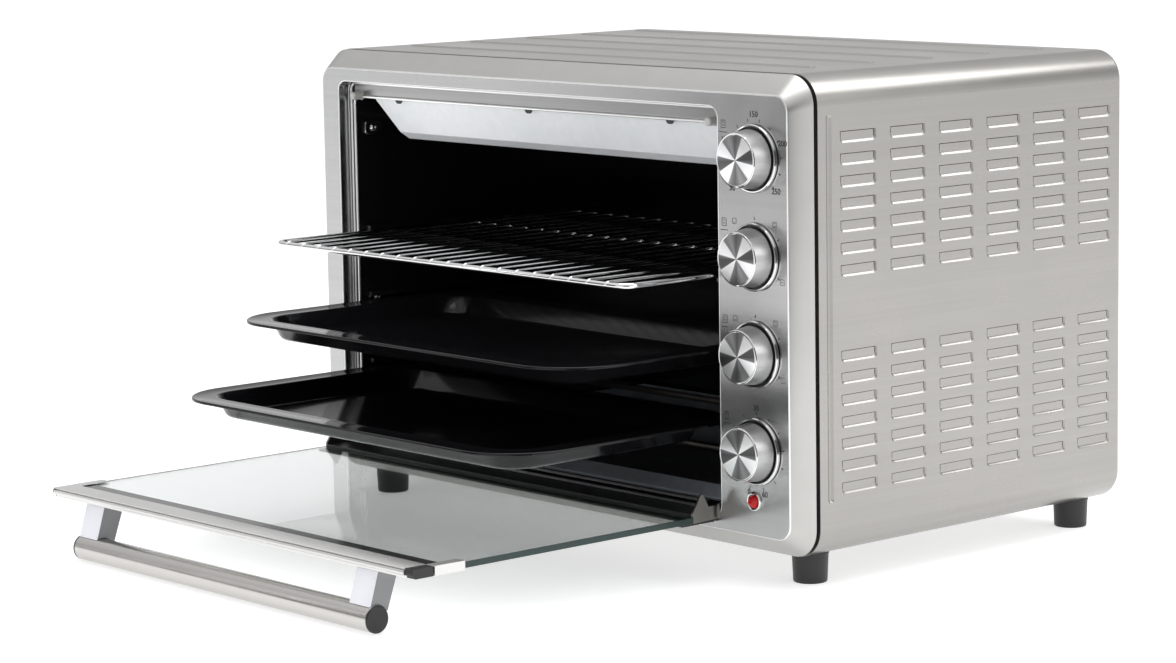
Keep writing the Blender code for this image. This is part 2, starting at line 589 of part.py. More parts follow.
TRAY_DEPTH = CAVITY_BACK - TRAY_BACK_GAP - TRAY_SHUT_Y
for name, out, rim_z in (("lower_baking_tray", LOWER_TRAY_OUT, SHELF_LOWER_Z),
                         ("upper_baking_tray", UPPER_TRAY_OUT, SHELF_UPPER_Z)):
    bm = bmesh.new()
    loft(bm, tray_section(-out, -out + TRAY_DEPTH, rim_z), "Z")
    add(name, bm, ENAMEL)

RACK_LEFT, RACK_RIGHT = CAVITY_LEFT + RACK_SIDE_GAP, CAVITY_RIGHT - RACK_SIDE_GAP
RACK_BACK = CAVITY_BACK - TRAY_BACK_GAP - RACK_SHUT_Y - RACK_OUT
bm = bmesh.new()
rings = []
for inset, z in circle(0, SHELF_RACK_Z, RACK_FRAME_RADIUS, 8):
    outline = rounded(RACK_LEFT + RACK_FRAME_RADIUS + inset, RACK_RIGHT - RACK_FRAME_RADIUS - inset,
                      -RACK_OUT + RACK_FRAME_RADIUS + inset, RACK_BACK - RACK_FRAME_RADIUS - inset,
                      RACK_CORNER - inset, 4)
    rings.append((outline, z))
loft(bm, rings, "Z", closed=True)
rack = add("wire_rack", bm, CHROME)
bm = bmesh.new()
wire_z = SHELF_RACK_Z + RACK_FRAME_RADIUS - 0.4 * MM
span = RACK_RIGHT - RACK_LEFT - 2 * RACK_WIRE_PITCH * 0.6
wire_count = int(span / RACK_WIRE_PITCH) + 1
for index in range(wire_count):
    x = (RACK_LEFT + RACK_RIGHT) / 2 + (index - (wire_count - 1) / 2) * RACK_WIRE_PITCH
    turned(bm, [(RACK_WIRE_RADIUS, -RACK_OUT + 0.8 * MM), (RACK_WIRE_RADIUS, RACK_BACK - 0.8 * MM)],
           (x, wire_z), "Y", 6)
combine(rack, tool("add_rack_wires", bm), "UNION")
bm = bmesh.new()
turned(bm, [(RACK_WIRE_RADIUS * 1.3, RACK_LEFT + RACK_FRAME_RADIUS),
            (RACK_WIRE_RADIUS * 1.3, RACK_RIGHT - RACK_FRAME_RADIUS)],
       (RACK_CROSS_Y, SHELF_RACK_Z + 0.35 * MM), "X", 8)
combine(rack, tool("add_rack_cross_wire", bm), "UNION")

# ---- door: glass, rails, hinge arms, clips and handle; everything turns about the hinge axis ----
door_parts = []
bm = bmesh.new()
GLASS_FRONT_Y = DOOR_FRONT + RAIL_DEPTH - RAIL_SLOT + GAP
block(bm, (DOOR_LEFT, GLASS_FRONT_Y, GLASS_LOW_Z), (DOOR_RIGHT, GLASS_BACK_Y, DOOR_INNER_Z))
door_parts.append(add("door_glass", bm, GLASS, smooth=False))

bm = bmesh.new()
slot_back = DOOR_FRONT + RAIL_DEPTH
slot_front = slot_back - RAIL_SLOT
low, high = GLASS_LOW_Z - GAP, DOOR_INNER_Z + GAP
rail = [(DOOR_FRONT, low - RAIL_WALL), (slot_back, low - RAIL_WALL), (slot_back, low),
        (slot_front, low), (slot_front, high), (slot_back, high), (slot_back, high + RAIL_WALL),
        (DOOR_FRONT + 3 * MM, high + RAIL_WALL), (DOOR_FRONT, high - 1 * MM)]
loft(bm, [(rail, DOOR_LEFT), (rail, DOOR_RIGHT)], "X")
door_parts.append(add("door_top_rail", bm, STEEL, smooth=False))

bm = bmesh.new()
rail_back = HINGE_Y - RAIL_HINGE_GAP
rail_left, rail_right = 2 * MIDDLE - HINGE_ARM_IN + GAP, HINGE_ARM_IN - GAP
foot = [(GLASS_BACK_Y - 9 * MM, GLASS_LOW_Z - GAP - 2 * SHEET),
        (rail_back, GLASS_LOW_Z - GAP - 2 * SHEET),
        (rail_back, DOOR_INNER_Z + 1 * MM), (rail_back - 2 * MM, DOOR_INNER_Z + 2 * MM),
        (GLASS_BACK_Y + GAP, DOOR_INNER_Z + 2 * MM), (GLASS_BACK_Y + GAP, GLASS_LOW_Z - GAP),
        (GLASS_BACK_Y - 9 * MM, GLASS_LOW_Z - GAP)]
loft(bm, [(foot, rail_left), (foot, rail_right)], "X")
door_parts.append(add("door_bottom_rail", bm, BLACK_METAL, smooth=False))


def hinge_arm_outline():
    """Side view of a hinge arm: a strip to the pivot with a pointed ear over the door."""
    points = [(GLASS_BACK_Y + GAP, GLASS_LOW_Z - GAP)]
    points += [(HINGE_Y + HINGE_ARM_RADIUS * math.cos(a), HINGE_Z + HINGE_ARM_RADIUS * math.sin(a))
               for a in [math.pi * (-0.5 + i / 8) for i in range(9)]]
    ear_top = DOOR_INNER_Z + HINGE_EAR_RISE
    points += [(HINGE_Y - 12 * MM, HINGE_Z + HINGE_ARM_RADIUS), (HINGE_Y - 16 * MM, ear_top - 3 * MM),
               (HINGE_Y - 18 * MM, ear_top), (HINGE_Y - 20.5 * MM, ear_top - 0.5 * MM),
               (HINGE_Y - 24 * MM, ear_top - 7 * MM), (GLASS_BACK_Y + GAP, DOOR_INNER_Z + 3 * MM)]
    return points


for side_name, (x0, x1) in zip(("right", "left"), both_sides(HINGE_ARM_IN, HINGE_ARM_OUT)):
    bm = bmesh.new()
    outline = hinge_arm_outline()
    loft(bm, [(outline, x0), (outline, x1)], "X")
    arm = add(f"hinge_arm_{side_name}", bm, CHROME)
    bm = bmesh.new()
    hole = HINGE_PIN_RADIUS + HINGE_CLEARANCE
    turned(bm, [(hole, x0 - MM), (hole, x1 + MM)], (HINGE_Y, HINGE_Z), "X", 16)
    combine(arm, tool(f"cut_hinge_arm_{side_name}", bm), "DIFFERENCE")
    on_axis(arm, HINGE_Y, HINGE_Z)

for side_name, edge, inward in (("left", DOOR_LEFT, 1), ("right", DOOR_RIGHT, -1)):
    outer, wall = edge - inward * (GAP + SHEET), inward * CLIP_GRIP
    clip = [(outer, low - SHEET), (edge + wall, low - SHEET), (edge + wall, low),
            (edge - inward * GAP, low), (edge - inward * GAP, high), (edge + wall, high),
            (edge + wall, high + SHEET), (outer, high + SHEET)]
    bm = bmesh.new()
    clip_front = slot_back + GAP
    loft(bm, [(clip, clip_front), (clip, clip_front + CLIP_LENGTH)], "Y")
    door_parts.append(add(f"glass_clip_{side_name}", bm, STEEL, smooth=False))

bm = bmesh.new()
bore = HANDLE_RADIUS - HANDLE_WALL
turned(bm, [(HANDLE_RADIUS, HANDLE_LEFT), (HANDLE_RADIUS, HANDLE_RIGHT), (bore, HANDLE_RIGHT),
            (bore, HANDLE_LEFT)], (HANDLE_Y, HANDLE_Z), "X", 24, closed=True)
door_parts.append(add("handle_tube", bm, STEEL))
for side_name, end, outward in (("left", HANDLE_LEFT, -1), ("right", HANDLE_RIGHT, 1)):
    bm = bmesh.new()
    plug = bore - GAP
    turned(bm, [(HANDLE_RADIUS - 0.5 * MM, end + outward * CAP_THICKNESS),
                (HANDLE_RADIUS, end + outward * (CAP_THICKNESS - 0.5 * MM)),
                (HANDLE_RADIUS, end + outward * GAP), (plug, end + outward * GAP),
                (plug, end - outward * 8 * MM)], (HANDLE_Y, HANDLE_Z), "X", 24)
    door_parts.append(add(f"handle_cap_{side_name}", bm, BLACK_PLASTIC))
    arm_low = HANDLE_Z + 4 * MM
    arm_top = low - RAIL_WALL - GAP
    side = [(HANDLE_Y + 3 * MM, arm_top), (DOOR_FRONT + RAIL_DEPTH + 2.5 * MM, arm_top),
            (HANDLE_Y + 11.5 * MM, HANDLE_Z + 5 * MM), (HANDLE_Y + 6 * MM, arm_low),
            (HANDLE_Y - 7 * MM, arm_low)]
    bm = bmesh.new()
    loft(bm, [(side, end), (side, end - outward * ARM_WIDTH)], "X")
    arm = add(f"handle_arm_{side_name}", bm, STEEL, smooth=False)
    bm = bmesh.new()
    seat = HANDLE_RADIUS + GAP
    turned(bm, [(seat, end + outward * MM), (seat, end - outward * (ARM_WIDTH + MM))],
           (HANDLE_Y, HANDLE_Z), "X", 24, closed=False)
    combine(arm, tool(f"cut_handle_arm_{side_name}", bm), "DIFFERENCE")
    on_axis(arm, HINGE_Y, HINGE_Z)
for piece in door_parts:
    on_axis(piece, HINGE_Y, HINGE_Z)

# ---- fixed half of the hinges: a plate and a pin at each side ----
for side_name, (x0, x1) in zip(("right", "left"), both_sides(MOUNT_IN, MOUNT_OUT)):
    bm = bmesh.new()
    plate = rounded(HINGE_Y - 5 * MM, JAMB_DEPTH, HINGE_Z - 5 * MM, HINGE_Z + 7 * MM, 3 * MM, 3)
    loft(bm, [(plate, x0), (plate, x1)], "X")
    mount = add(f"hinge_plate_{side_name}", bm, STEEL)
    bm = bmesh.new()
    hole = HINGE_PIN_RADIUS + GAP
    turned(bm, [(hole, x0 - MM), (hole, x1 + MM)], (HINGE_Y, HINGE_Z), "X", 16)
    combine(mount, tool(f"cut_hinge_plate_{side_name}", bm), "DIFFERENCE")
pin_spans = both_sides(HINGE_ARM_IN - 0.2 * MM, MOUNT_OUT + 0.5 * MM)
for side_name, (x0, x1) in zip(("right", "left"), pin_spans):
    bm = bmesh.new()
    turned(bm, [(HINGE_PIN_RADIUS, x0), (HINGE_PIN_RADIUS, x1)], (HINGE_Y, HINGE_Z), "X", 16)
    add(f"hinge_pin_{side_name}", bm, STEEL)

# ---- white bumper pads that the shut door rests on ----
RAIL_INNER_WHEN_SHUT = HINGE_Y + (high + RAIL_WALL - HINGE_Z)
bumper_middle_z = HINGE_Z + DOOR_REACH - 6 * MM
for side_name, x in (("left", CAVITY_LEFT + 2 * MM), ("right", CAVITY_RIGHT - 2 * MM - BUMPER_SIZE)):
    bm = bmesh.new()
    block(bm, (x, RAIL_INNER_WHEN_SHUT + GAP, bumper_middle_z - BUMPER_SIZE / 2),
          (x + BUMPER_SIZE, FLANGE_Y - GAP, bumper_middle_z + BUMPER_SIZE / 2))
    add(f"door_bumper_{side_name}", bm, SILICONE, smooth=False)

# ---- controls: a body behind the panel, a shaft and a knob for each ----
controls = ("thermostat", "upper_heat_switch", "lower_heat_switch", "timer")
for name, height in zip(controls, knob_heights):
    bm = bmesh.new()
    half = CONTROL_SIZE / 2
    block(bm, (KNOB_X - half, SHEET + GAP, height - half),
          (KNOB_X + half, SHEET + GAP + CONTROL_DEPTH, height + half))
    body = add(f"{name}_body", bm, GALVANISED, smooth=False)
    bm = bmesh.new()
    turned(bm, [(BUSHING_RADIUS, -GAP), (BUSHING_RADIUS, SHEET * 3)], (KNOB_X, height), "Y", 16)
    combine(body, tool(f"add_{name}_bushing", bm), "UNION")
    bm = bmesh.new()
    hole = SHAFT_RADIUS + SHAFT_CLEARANCE
    turned(bm, [(hole, -3 * SHEET), (hole, CONTROL_DEPTH * 0.6)], (KNOB_X, height), "Y", 16)
    combine(body, tool(f"cut_{name}_bore", bm), "DIFFERENCE")

    bm = bmesh.new()
    bore_end = -KNOB_REACH + 7 * MM
    turned(bm, [(SHAFT_RADIUS, bore_end + GAP), (SHAFT_RADIUS, CONTROL_DEPTH * 0.6 - GAP)],
           (KNOB_X, height), "Y", 16)
    on_axis(add(f"{name}_shaft", bm, STEEL), 0, height, KNOB_X)

    bm = bmesh.new()
    ring_back, ring_front = -0.8 * MM, -4 * MM
    boss = SHAFT_RADIUS + 3 * MM
    turned(bm, [(KNOB_RADIUS - 0.8 * MM, -KNOB_REACH), (KNOB_RADIUS, -KNOB_REACH + 0.8 * MM),
                (KNOB_SKIRT_RADIUS, ring_front - 0.5 * MM), (KNOB_RING_RADIUS, ring_front),
                (KNOB_RING_RADIUS, ring_back), (KNOB_RADIUS - 2 * MM, ring_back),
                (KNOB_RADIUS - 2 * MM, bore_end + MM), (boss, bore_end + MM), (boss, ring_back),
                (hole, ring_back), (hole, bore_end)], (KNOB_X, height), "Y", 24)
    on_axis(add(f"{name}_knob", bm, STEEL), 0, height, KNOB_X)

bm = bmesh.new()
turned(bm, [(PILOT_RADIUS - MM, -GAP), (PILOT_RADIUS - 0.5 * MM, -2.5 * MM),
            (PILOT_RADIUS * 0.6, -4.8 * MM), (PILOT_RADIUS * 0.25, -5.4 * MM)],
       (PILOT_X, PILOT_Z), "Y", 12)
add("pilot_lens", bm, RED)
bm = bmesh.new()
turned(bm, [(PILOT_RADIUS, -GAP), (PILOT_RADIUS + 1.8 * MM, -GAP), (PILOT_RADIUS + 1.2 * MM, -1.8 * MM),
            (PILOT_RADIUS, -1.8 * MM)], (PILOT_X, PILOT_Z), "Y", 24, closed=True)
add("pilot_ring", bm, CHROME)
bm = bmesh.new()
turned(bm, [(PILOT_RADIUS - 0.5 * MM, SHEET + GAP), (PILOT_RADIUS - 0.5 * MM, 20 * MM)],
       (PILOT_X, PILOT_Z), "Y", 12)
add("pilot_lamp", bm, CERAMIC)

# ---- convection fan behind the right cavity wall, heat shield and wiring block ----
WALL_OUT = CAVITY_RIGHT + SHEET
bm = bmesh.new()
turned(bm, [(FAN_RADIUS - GAP, CAVITY_RIGHT), (FAN_RADIUS - GAP, WALL_OUT)], (FAN_Y, FAN_Z), "X", 32)
guard = add("fan_guard", bm, ENAMEL)
bm = bmesh.new()
for index in range(12):
    turn = Matrix.Translation((0, FAN_Y, FAN_Z)) @ Matrix.Rotation(math.tau * index / 12, 4, "X")
    size = Matrix.Diagonal((6 * SHEET, 5 * MM, FAN_RADIUS * 0.55, 1))
    move = Matrix.Translation((CAVITY_RIGHT, 0, FAN_RADIUS * 0.58))
    bmesh.ops.create_cube(bm, size=1, matrix=turn @ move @ size)
combine(guard, tool("cut_fan_guard", bm), "DIFFERENCE")

bm = bmesh.new()
housing_out = WALL_OUT + FAN_HOUSING_DEPTH
housing = FAN_RADIUS + 6 * MM
shaft_hole = FAN_SHAFT_RADIUS + 1 * MM
turned(bm, [(housing, WALL_OUT + GAP), (housing, housing_out), (shaft_hole, housing_out),
            (shaft_hole, housing_out - SHEET), (housing - SHEET, housing_out - SHEET),
            (housing - SHEET, WALL_OUT + GAP)], (FAN_Y, FAN_Z), "X", 28, closed=True)
add("fan_housing", bm, GALVANISED)

shield_x = housing_out + 1.5 * MM
motor_in = shield_x + SHEET + 1.5 * MM
bm = bmesh.new()
block(bm, (shield_x, WRAPPER_Y + 3 * MM, 6 * SHEET),
      (shield_x + SHEET, BACK_Y - 3 * MM, BODY_HEIGHT - 6 * SHEET))
shield = add("heat_shield", bm, GALVANISED, smooth=False)
bm = bmesh.new()
turned(bm, [(shaft_hole + MM, shield_x - SHEET), (shaft_hole + MM, shield_x + 2 * SHEET)],
       (FAN_Y, FAN_Z), "X", 16)
for y, z in heater_rows.values():
    turned(bm, [(6 * MM, shield_x - SHEET), (6 * MM, shield_x + 2 * SHEET)], (y, z), "X", 12)
combine(shield, tool("cut_heat_shield", bm), "DIFFERENCE")

bm = bmesh.new()
blade_in, blade_out = WALL_OUT + 4 * MM, housing_out - 4 * MM
shaft_end = motor_in + MOTOR_LENGTH * 0.6
hub = 9 * MM
turned(bm, [(hub, blade_in), (hub, blade_out), (FAN_SHAFT_RADIUS, blade_out), (FAN_SHAFT_RADIUS, shaft_end)],
       (FAN_Y, FAN_Z), "X", 16)
rotor = add("fan_rotor", bm, GALVANISED)
bm = bmesh.new()
for index in range(FAN_BLADES):
    turn = Matrix.Rotation(math.tau * index / FAN_BLADES, 4, "X")
    size = Matrix.Diagonal((blade_out - blade_in - 2 * MM, 1.2 * MM, FAN_RADIUS - hub, 1))
    lean = Matrix.Rotation(math.radians(8), 4, "X")
    move = Matrix.Translation(((blade_in + blade_out) / 2, 0, (FAN_RADIUS + hub) / 2 - 3 * MM))
    centred = Matrix.Translation((0, FAN_Y, FAN_Z)) @ turn
    bmesh.ops.create_cube(bm, size=1, matrix=centred @ move @ lean @ size)
combine(rotor, tool("add_fan_blades", bm), "UNION")
on_axis(rotor, FAN_Y, FAN_Z)

bm = bmesh.new()
motor_hole = FAN_SHAFT_RADIUS + SHAFT_CLEARANCE
turned(bm, [(motor_hole, shaft_end + GAP), (motor_hole, motor_in), (MOTOR_RADIUS - 2 * MM, motor_in),
            (MOTOR_RADIUS, motor_in + 2 * MM), (MOTOR_RADIUS, motor_in + MOTOR_LENGTH - 2 * MM),
            (MOTOR_RADIUS - 2 * MM, motor_in + MOTOR_LENGTH)], (FAN_Y, FAN_Z), "X", 20)
add("fan_motor", bm, BLACK_METAL)

bm = bmesh.new()
block_x = (shield_x + SIDE) / 2
block(bm, (block_x - 16 * MM, BODY_DEPTH * 0.8, 2 * SHEET + 2 * GAP),
      (block_x + 16 * MM, BODY_DEPTH * 0.8 + 18 * MM, 2 * SHEET + 2 * GAP + 14 * MM))
terminal_block = add("terminal_block", bm, CERAMIC, smooth=False)
bm = bmesh.new()
for index in range(3):
    x = block_x + (index - 1) * 10 * MM
    turned(bm, [(2.2 * MM, 12 * MM), (2.2 * MM, 20 * MM)], (x, BODY_DEPTH * 0.8 + 9 * MM), "Z", 10)
combine(terminal_block, tool("cut_terminal_block", bm), "DIFFERENCE")
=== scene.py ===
"""Looks of a countertop toaster oven with its glass door open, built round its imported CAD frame."""
import math

import bmesh
import bpy
from mathutils import Matrix, Vector


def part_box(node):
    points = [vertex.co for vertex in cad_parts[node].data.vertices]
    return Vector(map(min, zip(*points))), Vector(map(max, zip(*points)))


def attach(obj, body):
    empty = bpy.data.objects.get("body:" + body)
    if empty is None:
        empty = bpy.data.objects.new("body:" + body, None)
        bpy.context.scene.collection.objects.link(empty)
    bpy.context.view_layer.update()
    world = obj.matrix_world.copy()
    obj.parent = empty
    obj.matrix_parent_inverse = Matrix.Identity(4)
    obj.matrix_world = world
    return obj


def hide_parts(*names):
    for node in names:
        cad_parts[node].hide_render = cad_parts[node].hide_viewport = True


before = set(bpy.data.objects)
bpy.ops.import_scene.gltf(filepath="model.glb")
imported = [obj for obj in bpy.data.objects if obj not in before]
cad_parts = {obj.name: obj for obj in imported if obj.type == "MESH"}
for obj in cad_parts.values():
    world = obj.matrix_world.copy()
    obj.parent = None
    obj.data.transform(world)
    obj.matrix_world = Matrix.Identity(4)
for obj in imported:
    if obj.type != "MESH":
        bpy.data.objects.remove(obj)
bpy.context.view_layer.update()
MM = 0.001
scene = bpy.context.scene

# ---- Studio: camera ----
# A long portrait lens from the right of the oven and a little above it, with a slight roll, so
# that the near corner, the controls and the open door all face the viewer.
camera_place = Vector((2.18853, -1.91000, 0.58611))
camera_azimuth, camera_height, camera_roll = (math.radians(a) for a in (48.566, 8.065, -0.9547))
camera_data = bpy.data.cameras.new("portrait_lens")
camera_data.lens = 108.13
camera_data.sensor_width = 36
camera_data.clip_end = 100


def placed(name, data):
    """An object in the scene that shows the data."""
    thing = bpy.data.objects.new(name, data)
    scene.collection.objects.link(thing)
    return thing


camera = placed("camera", camera_data)
turn = Matrix.Rotation(camera_azimuth, 4, "Z") @ Matrix.Rotation(math.pi / 2 - camera_height, 4, "X")
camera.matrix_world = Matrix.Translation(camera_place) @ turn @ Matrix.Rotation(camera_roll, 4, "Z")
scene.camera = camera

# ---- Studio: floor, walls of light and lamps ----
# A white sweep of paper on the floor and a bright tent round it. Soft boxes above, behind and at
# both sides give brushed sheet its long soft gradients. Two dark screens stand before the oven, seen
# by reflections only: they shade what the panel and the turned edges mirror.


def finished_mesh(name, bm):
    """Writes a bmesh to a mesh of its own and frees it."""
    mesh = bpy.data.meshes.new(name)
    bm.to_mesh(mesh)
    bm.free()
    return mesh


def blank_material(name, settings):
    """A node material with sockets of its shader set: itself, its nodes, links and shader."""
    made = bpy.data.materials.new(name)
    made.use_nodes = True
    nodes = made.node_tree.nodes
    shader = nodes["Principled BSDF"]
    for socket, value in settings.items():
        shader.inputs[socket].default_value = value
    return made, nodes, made.node_tree.links, shader


floor_radius = 45
bm = bmesh.new()
bmesh.ops.create_circle(bm, cap_ends=True, segments=64, radius=floor_radius)
floor = placed("studio_floor", finished_mesh("studio_floor", bm))
floor.data.materials.append(blank_material("white_paper", {
    "Base Color": (0.60, 0.60, 0.60, 1), "Roughness": 0.9, "Specular IOR Level": 0.0,
    "Emission Color": (1.0, 1.0, 1.0, 1), "Emission Strength": 0.62})[0])

tent = bpy.data.worlds.new("studio_tent")
tent.use_nodes = True
scene.world = tent
tent_nodes, tent_links = tent.node_tree.nodes, tent.node_tree.links
sky = tent_nodes["Background"]
sky.inputs["Strength"].default_value = 1.0
sky_place = tent_nodes.new("ShaderNodeTexCoord")
sky_split = tent_nodes.new("ShaderNodeSeparateXYZ")
sky_height = tent_nodes.new("ShaderNodeValToRGB")
tent_links.new(sky_place.outputs["Generated"], sky_split.inputs[0])
tent_links.new(sky_split.outputs["Z"], sky_height.inputs["Fac"])
heights = sky_height.color_ramp.elements
heights[0].position, heights[0].color = 0.0, (0.95, 0.95, 0.95, 1)
heights[1].position, heights[1].color = 0.75, (0.95, 0.95, 0.96, 1)
for height, shade in ((0.10, 0.80), (0.30, 0.50), (0.50, 0.70)):
    heights.new(height).color = (shade, shade, shade * 1.01, 1)
tent_colour = sky_height.outputs["Color"]
dim_ways = (((-0.62, -0.78, 0.05), 0.84, 0.98, 0.38), ((0.70, -0.71, 0), 0.85, 0.98, 0.45))
for way, start, end, least in dim_ways:
    dim_side, sky_tone = (tent_nodes.new("ShaderNodeVectorMath") for _ in range(2))
    dim_side.operation, sky_tone.operation = "DOT_PRODUCT", "SCALE"
    dim_side.inputs[1].default_value = Vector(way).normalized()
    tent_links.new(sky_place.outputs["Generated"], dim_side.inputs[0])
    dim_amount = tent_nodes.new("ShaderNodeMapRange")
    dim_amount.interpolation_type = "SMOOTHSTEP"
    for socket, value in zip(("From Min", "From Max", "To Min", "To Max"), (start, end, 1.0, least)):
        dim_amount.inputs[socket].default_value = value
    tent_links.new(dim_side.outputs["Value"], dim_amount.inputs["Value"])
    tent_links.new(tent_colour, sky_tone.inputs[0])
    tent_links.new(dim_amount.outputs[0], sky_tone.inputs["Scale"])
    tent_colour = sky_tone.outputs[0]
tent_links.new(tent_colour, sky.inputs["Color"])

screen_cloth = blank_material("screen_cloth", {"Base Color": (0.05, 0.05, 0.05, 1), "Roughness": 1.0})[0]
for screen_name, stand, aim, wide, tall in (
        ("screen_front_left", (-1.02, -1.93, 0.72), (0.2, 0.0, 0.72), 1.3, 1.4),
        ("screen_front_right", (0.99, -0.66, 0.36), (0.3, -0.03, 0.36), 0.60, 0.7)):
    bm = bmesh.new()
    look = (Vector(aim) - Vector(stand)).to_track_quat("Z", "Y").to_matrix().to_4x4()
    bmesh.ops.create_grid(bm, x_segments=1, y_segments=1, size=0.5,
                          matrix=Matrix.Translation(stand) @ look @ Matrix.Diagonal((wide, tall, 1, 1)))
    screen = placed(screen_name, finished_mesh(screen_name, bm))
    screen.data.materials.append(screen_cloth)
    screen.visible_camera = screen.visible_diffuse = screen.visible_shadow = False
    screen.visible_transmission = False

lamps = {
    "overhead_box": ((0.3, 0.2, 2.4), (0, 0, 0.2), 2.2, 30),
    "right_box": ((2.6, 1.2, 1.5), (0, 0, 0.2), 1.4, 14),
    "front_box": ((-1.9, -2.4, 1.0), (0, 0, 0.1), 1.2, 10),
    "rear_box": ((1.4, 2.4, 2.6), (0.2, 0.1, 0.2), 1.5, 26),
}
for lamp_name, (stand, aim, size, power) in lamps.items():
    lamp_data = bpy.data.lights.new(lamp_name, "AREA")
    lamp_data.shape = "SQUARE"
    lamp_data.size = size
    lamp_data.energy = power
    lamp = placed(lamp_name, lamp_data)
    lamp.location = stand
    lamp.rotation_euler = (Vector(stand) - Vector(aim)).to_track_quat("Z", "Y").to_euler()
scene.view_settings.view_transform = "Standard"

# ---- Outer wrapper ----
# One sheet of brushed stainless steel bent round both sides and the roof, with pressed louvres, a
# bead beside the front edge, five roof ribs and a folded rear edge. It is screwed to the base.


def plane_point(axis, across, up, along):
    """A point from two coordinates in a plane and the place of that plane on its axis."""
    return {"X": (along, across, up), "Y": (across, along, up), "Z": (across, up, along)}[axis]


def rounded_face(bm, axis, along, low, high, radius, segments=8, corners=(0, 1, 2, 3)):
    """A flat face with round corners in the plane at along; corners count from the low one."""
    (u0, v0), (u1, v1) = low, high
    spots = ((u0, v0), (u1, v0), (u1, v1), (u0, v1))
    verts = [bm.verts.new(plane_point(axis, u, v, along)) for u, v in spots]
    before = set(bm.faces)
    bm.faces.new(verts)
    bmesh.ops.bevel(bm, geom=[verts[i] for i in corners], affect="VERTICES", offset=radius,
                    segments=segments, profile=0.5, material=-1)
    return [f for f in bm.faces if f not in before][0]


def round_edges(bm, edges, offset, segments, clamp=False):
    """Rounds edges to the offset."""
    bmesh.ops.bevel(bm, geom=list(edges), affect="EDGES", offset=offset, segments=segments,
                    profile=0.5, material=-1, clamp_overlap=clamp)


def cut_out(bm, *faces):
    """Takes faces away and leaves their edges."""
    bmesh.ops.delete(bm, geom=list(faces), context="FACES_ONLY")


def with_rims(faces):
    """Faces together with their edges and corners."""
    return [*faces, *{e for f in faces for e in f.edges}, *{v for f in faces for v in f.verts}]


def press(bm, face, facing, steps):
    """Draws a face in and along its normal, step by step, as a press does; returns the floor."""
    bm.normal_update()
    if face.normal.dot(Vector(facing)) < 0:
        bmesh.ops.reverse_faces(bm, faces=[face])
        bm.normal_update()
    for inward, raised in steps:
        bmesh.ops.inset_region(bm, faces=[face], thickness=inward, depth=raised,
                               use_even_offset=True, use_boundary=True)
    return face


def mask_group(name, inputs, outputs):
    """A node group with its sockets made: the group, its nodes and links, its input and output."""
    group = bpy.data.node_groups.new(name, "ShaderNodeTree")
    for side, sockets in (("INPUT", inputs), ("OUTPUT", outputs)):
        for socket_name, kind in sockets:
            group.interface.new_socket(name=socket_name, in_out=side, socket_type="NodeSocket" + kind)
    nodes = group.nodes
    return group, nodes, group.links, nodes.new("NodeGroupInput"), nodes.new("NodeGroupOutput")


def noise_into(nodes, links, source, scale, detail):
    """A noise texture read at the source socket."""
    noise = nodes.new("ShaderNodeTexNoise")
    noise.inputs["Scale"].default_value, noise.inputs["Detail"].default_value = scale, detail
    links.new(source, noise.inputs["Vector"])
    return noise


BRUSHED_GRAIN, nodes, links, given, result = mask_group(
    "brushed_grain", (("Coordinate", "Vector"), ("Stretch", "Vector")),
    (("Streaks", "Float"), ("Blotches", "Float"), ("Height", "Float")))
stretch = nodes.new("ShaderNodeVectorMath")
stretch.operation = "MULTIPLY"
links.new(given.outputs["Coordinate"], stretch.inputs[0])
links.new(given.outputs["Stretch"], stretch.inputs[1])
wide = noise_into(nodes, links, stretch.outputs[0], 0.35, 5)
fine = noise_into(nodes, links, stretch.outputs[0], 1.6, 3)
cloud = noise_into(nodes, links, given.outputs["Coordinate"], 9.0, 3)
both = nodes.new("ShaderNodeMix")
both.inputs["Factor"].default_value = 0.5
links.new(wide.outputs["Fac"], both.inputs["A"])
links.new(fine.outputs["Fac"], both.inputs["B"])
links.new(both.outputs["Result"], result.inputs["Streaks"])
links.new(cloud.outputs["Fac"], result.inputs["Blotches"])
links.new(fine.outputs["Fac"], result.inputs["Height"])


def masks_from(nodes, links, group):
    """Puts a mask group in a material, read at object coordinates."""
    masks, place = nodes.new("ShaderNodeGroup"), nodes.new("ShaderNodeTexCoord")
    masks.node_tree = group
    links.new(place.outputs["Object"], masks.inputs["Coordinate"])
    return masks


def tint(nodes, links, mask, dark, light):
    """Base colour from dark to light by a mask."""
    tone = nodes.new("ShaderNodeMixRGB")
    tone.inputs[1].default_value, tone.inputs[2].default_value = (*dark, 1), (*light, 1)
    links.new(mask, tone.inputs["Fac"])
    links.new(tone.outputs[0], nodes["Principled BSDF"].inputs["Base Color"])


def roughen(nodes, links, mask, low, high, start=0.0, end=1.0):
    """Roughness from low to high, by a mask read from start to end."""
    rough = nodes.new("ShaderNodeMapRange")
    for socket, value in zip(("From Min", "From Max", "To Min", "To Max"), (start, end, low, high)):
        rough.inputs[socket].default_value = value
    links.new(mask, rough.inputs["Value"])
    links.new(rough.outputs[0], nodes["Principled BSDF"].inputs["Roughness"])


def emboss(nodes, links, height, strength, depth=0.1 * MM):
    """Bump of the given strength and depth from a height."""
    relief = nodes.new("ShaderNodeBump")
    relief.inputs["Strength"].default_value, relief.inputs["Distance"].default_value = strength, depth
    links.new(height, relief.inputs["Height"])
    links.new(relief.outputs[0], nodes["Principled BSDF"].inputs["Normal"])


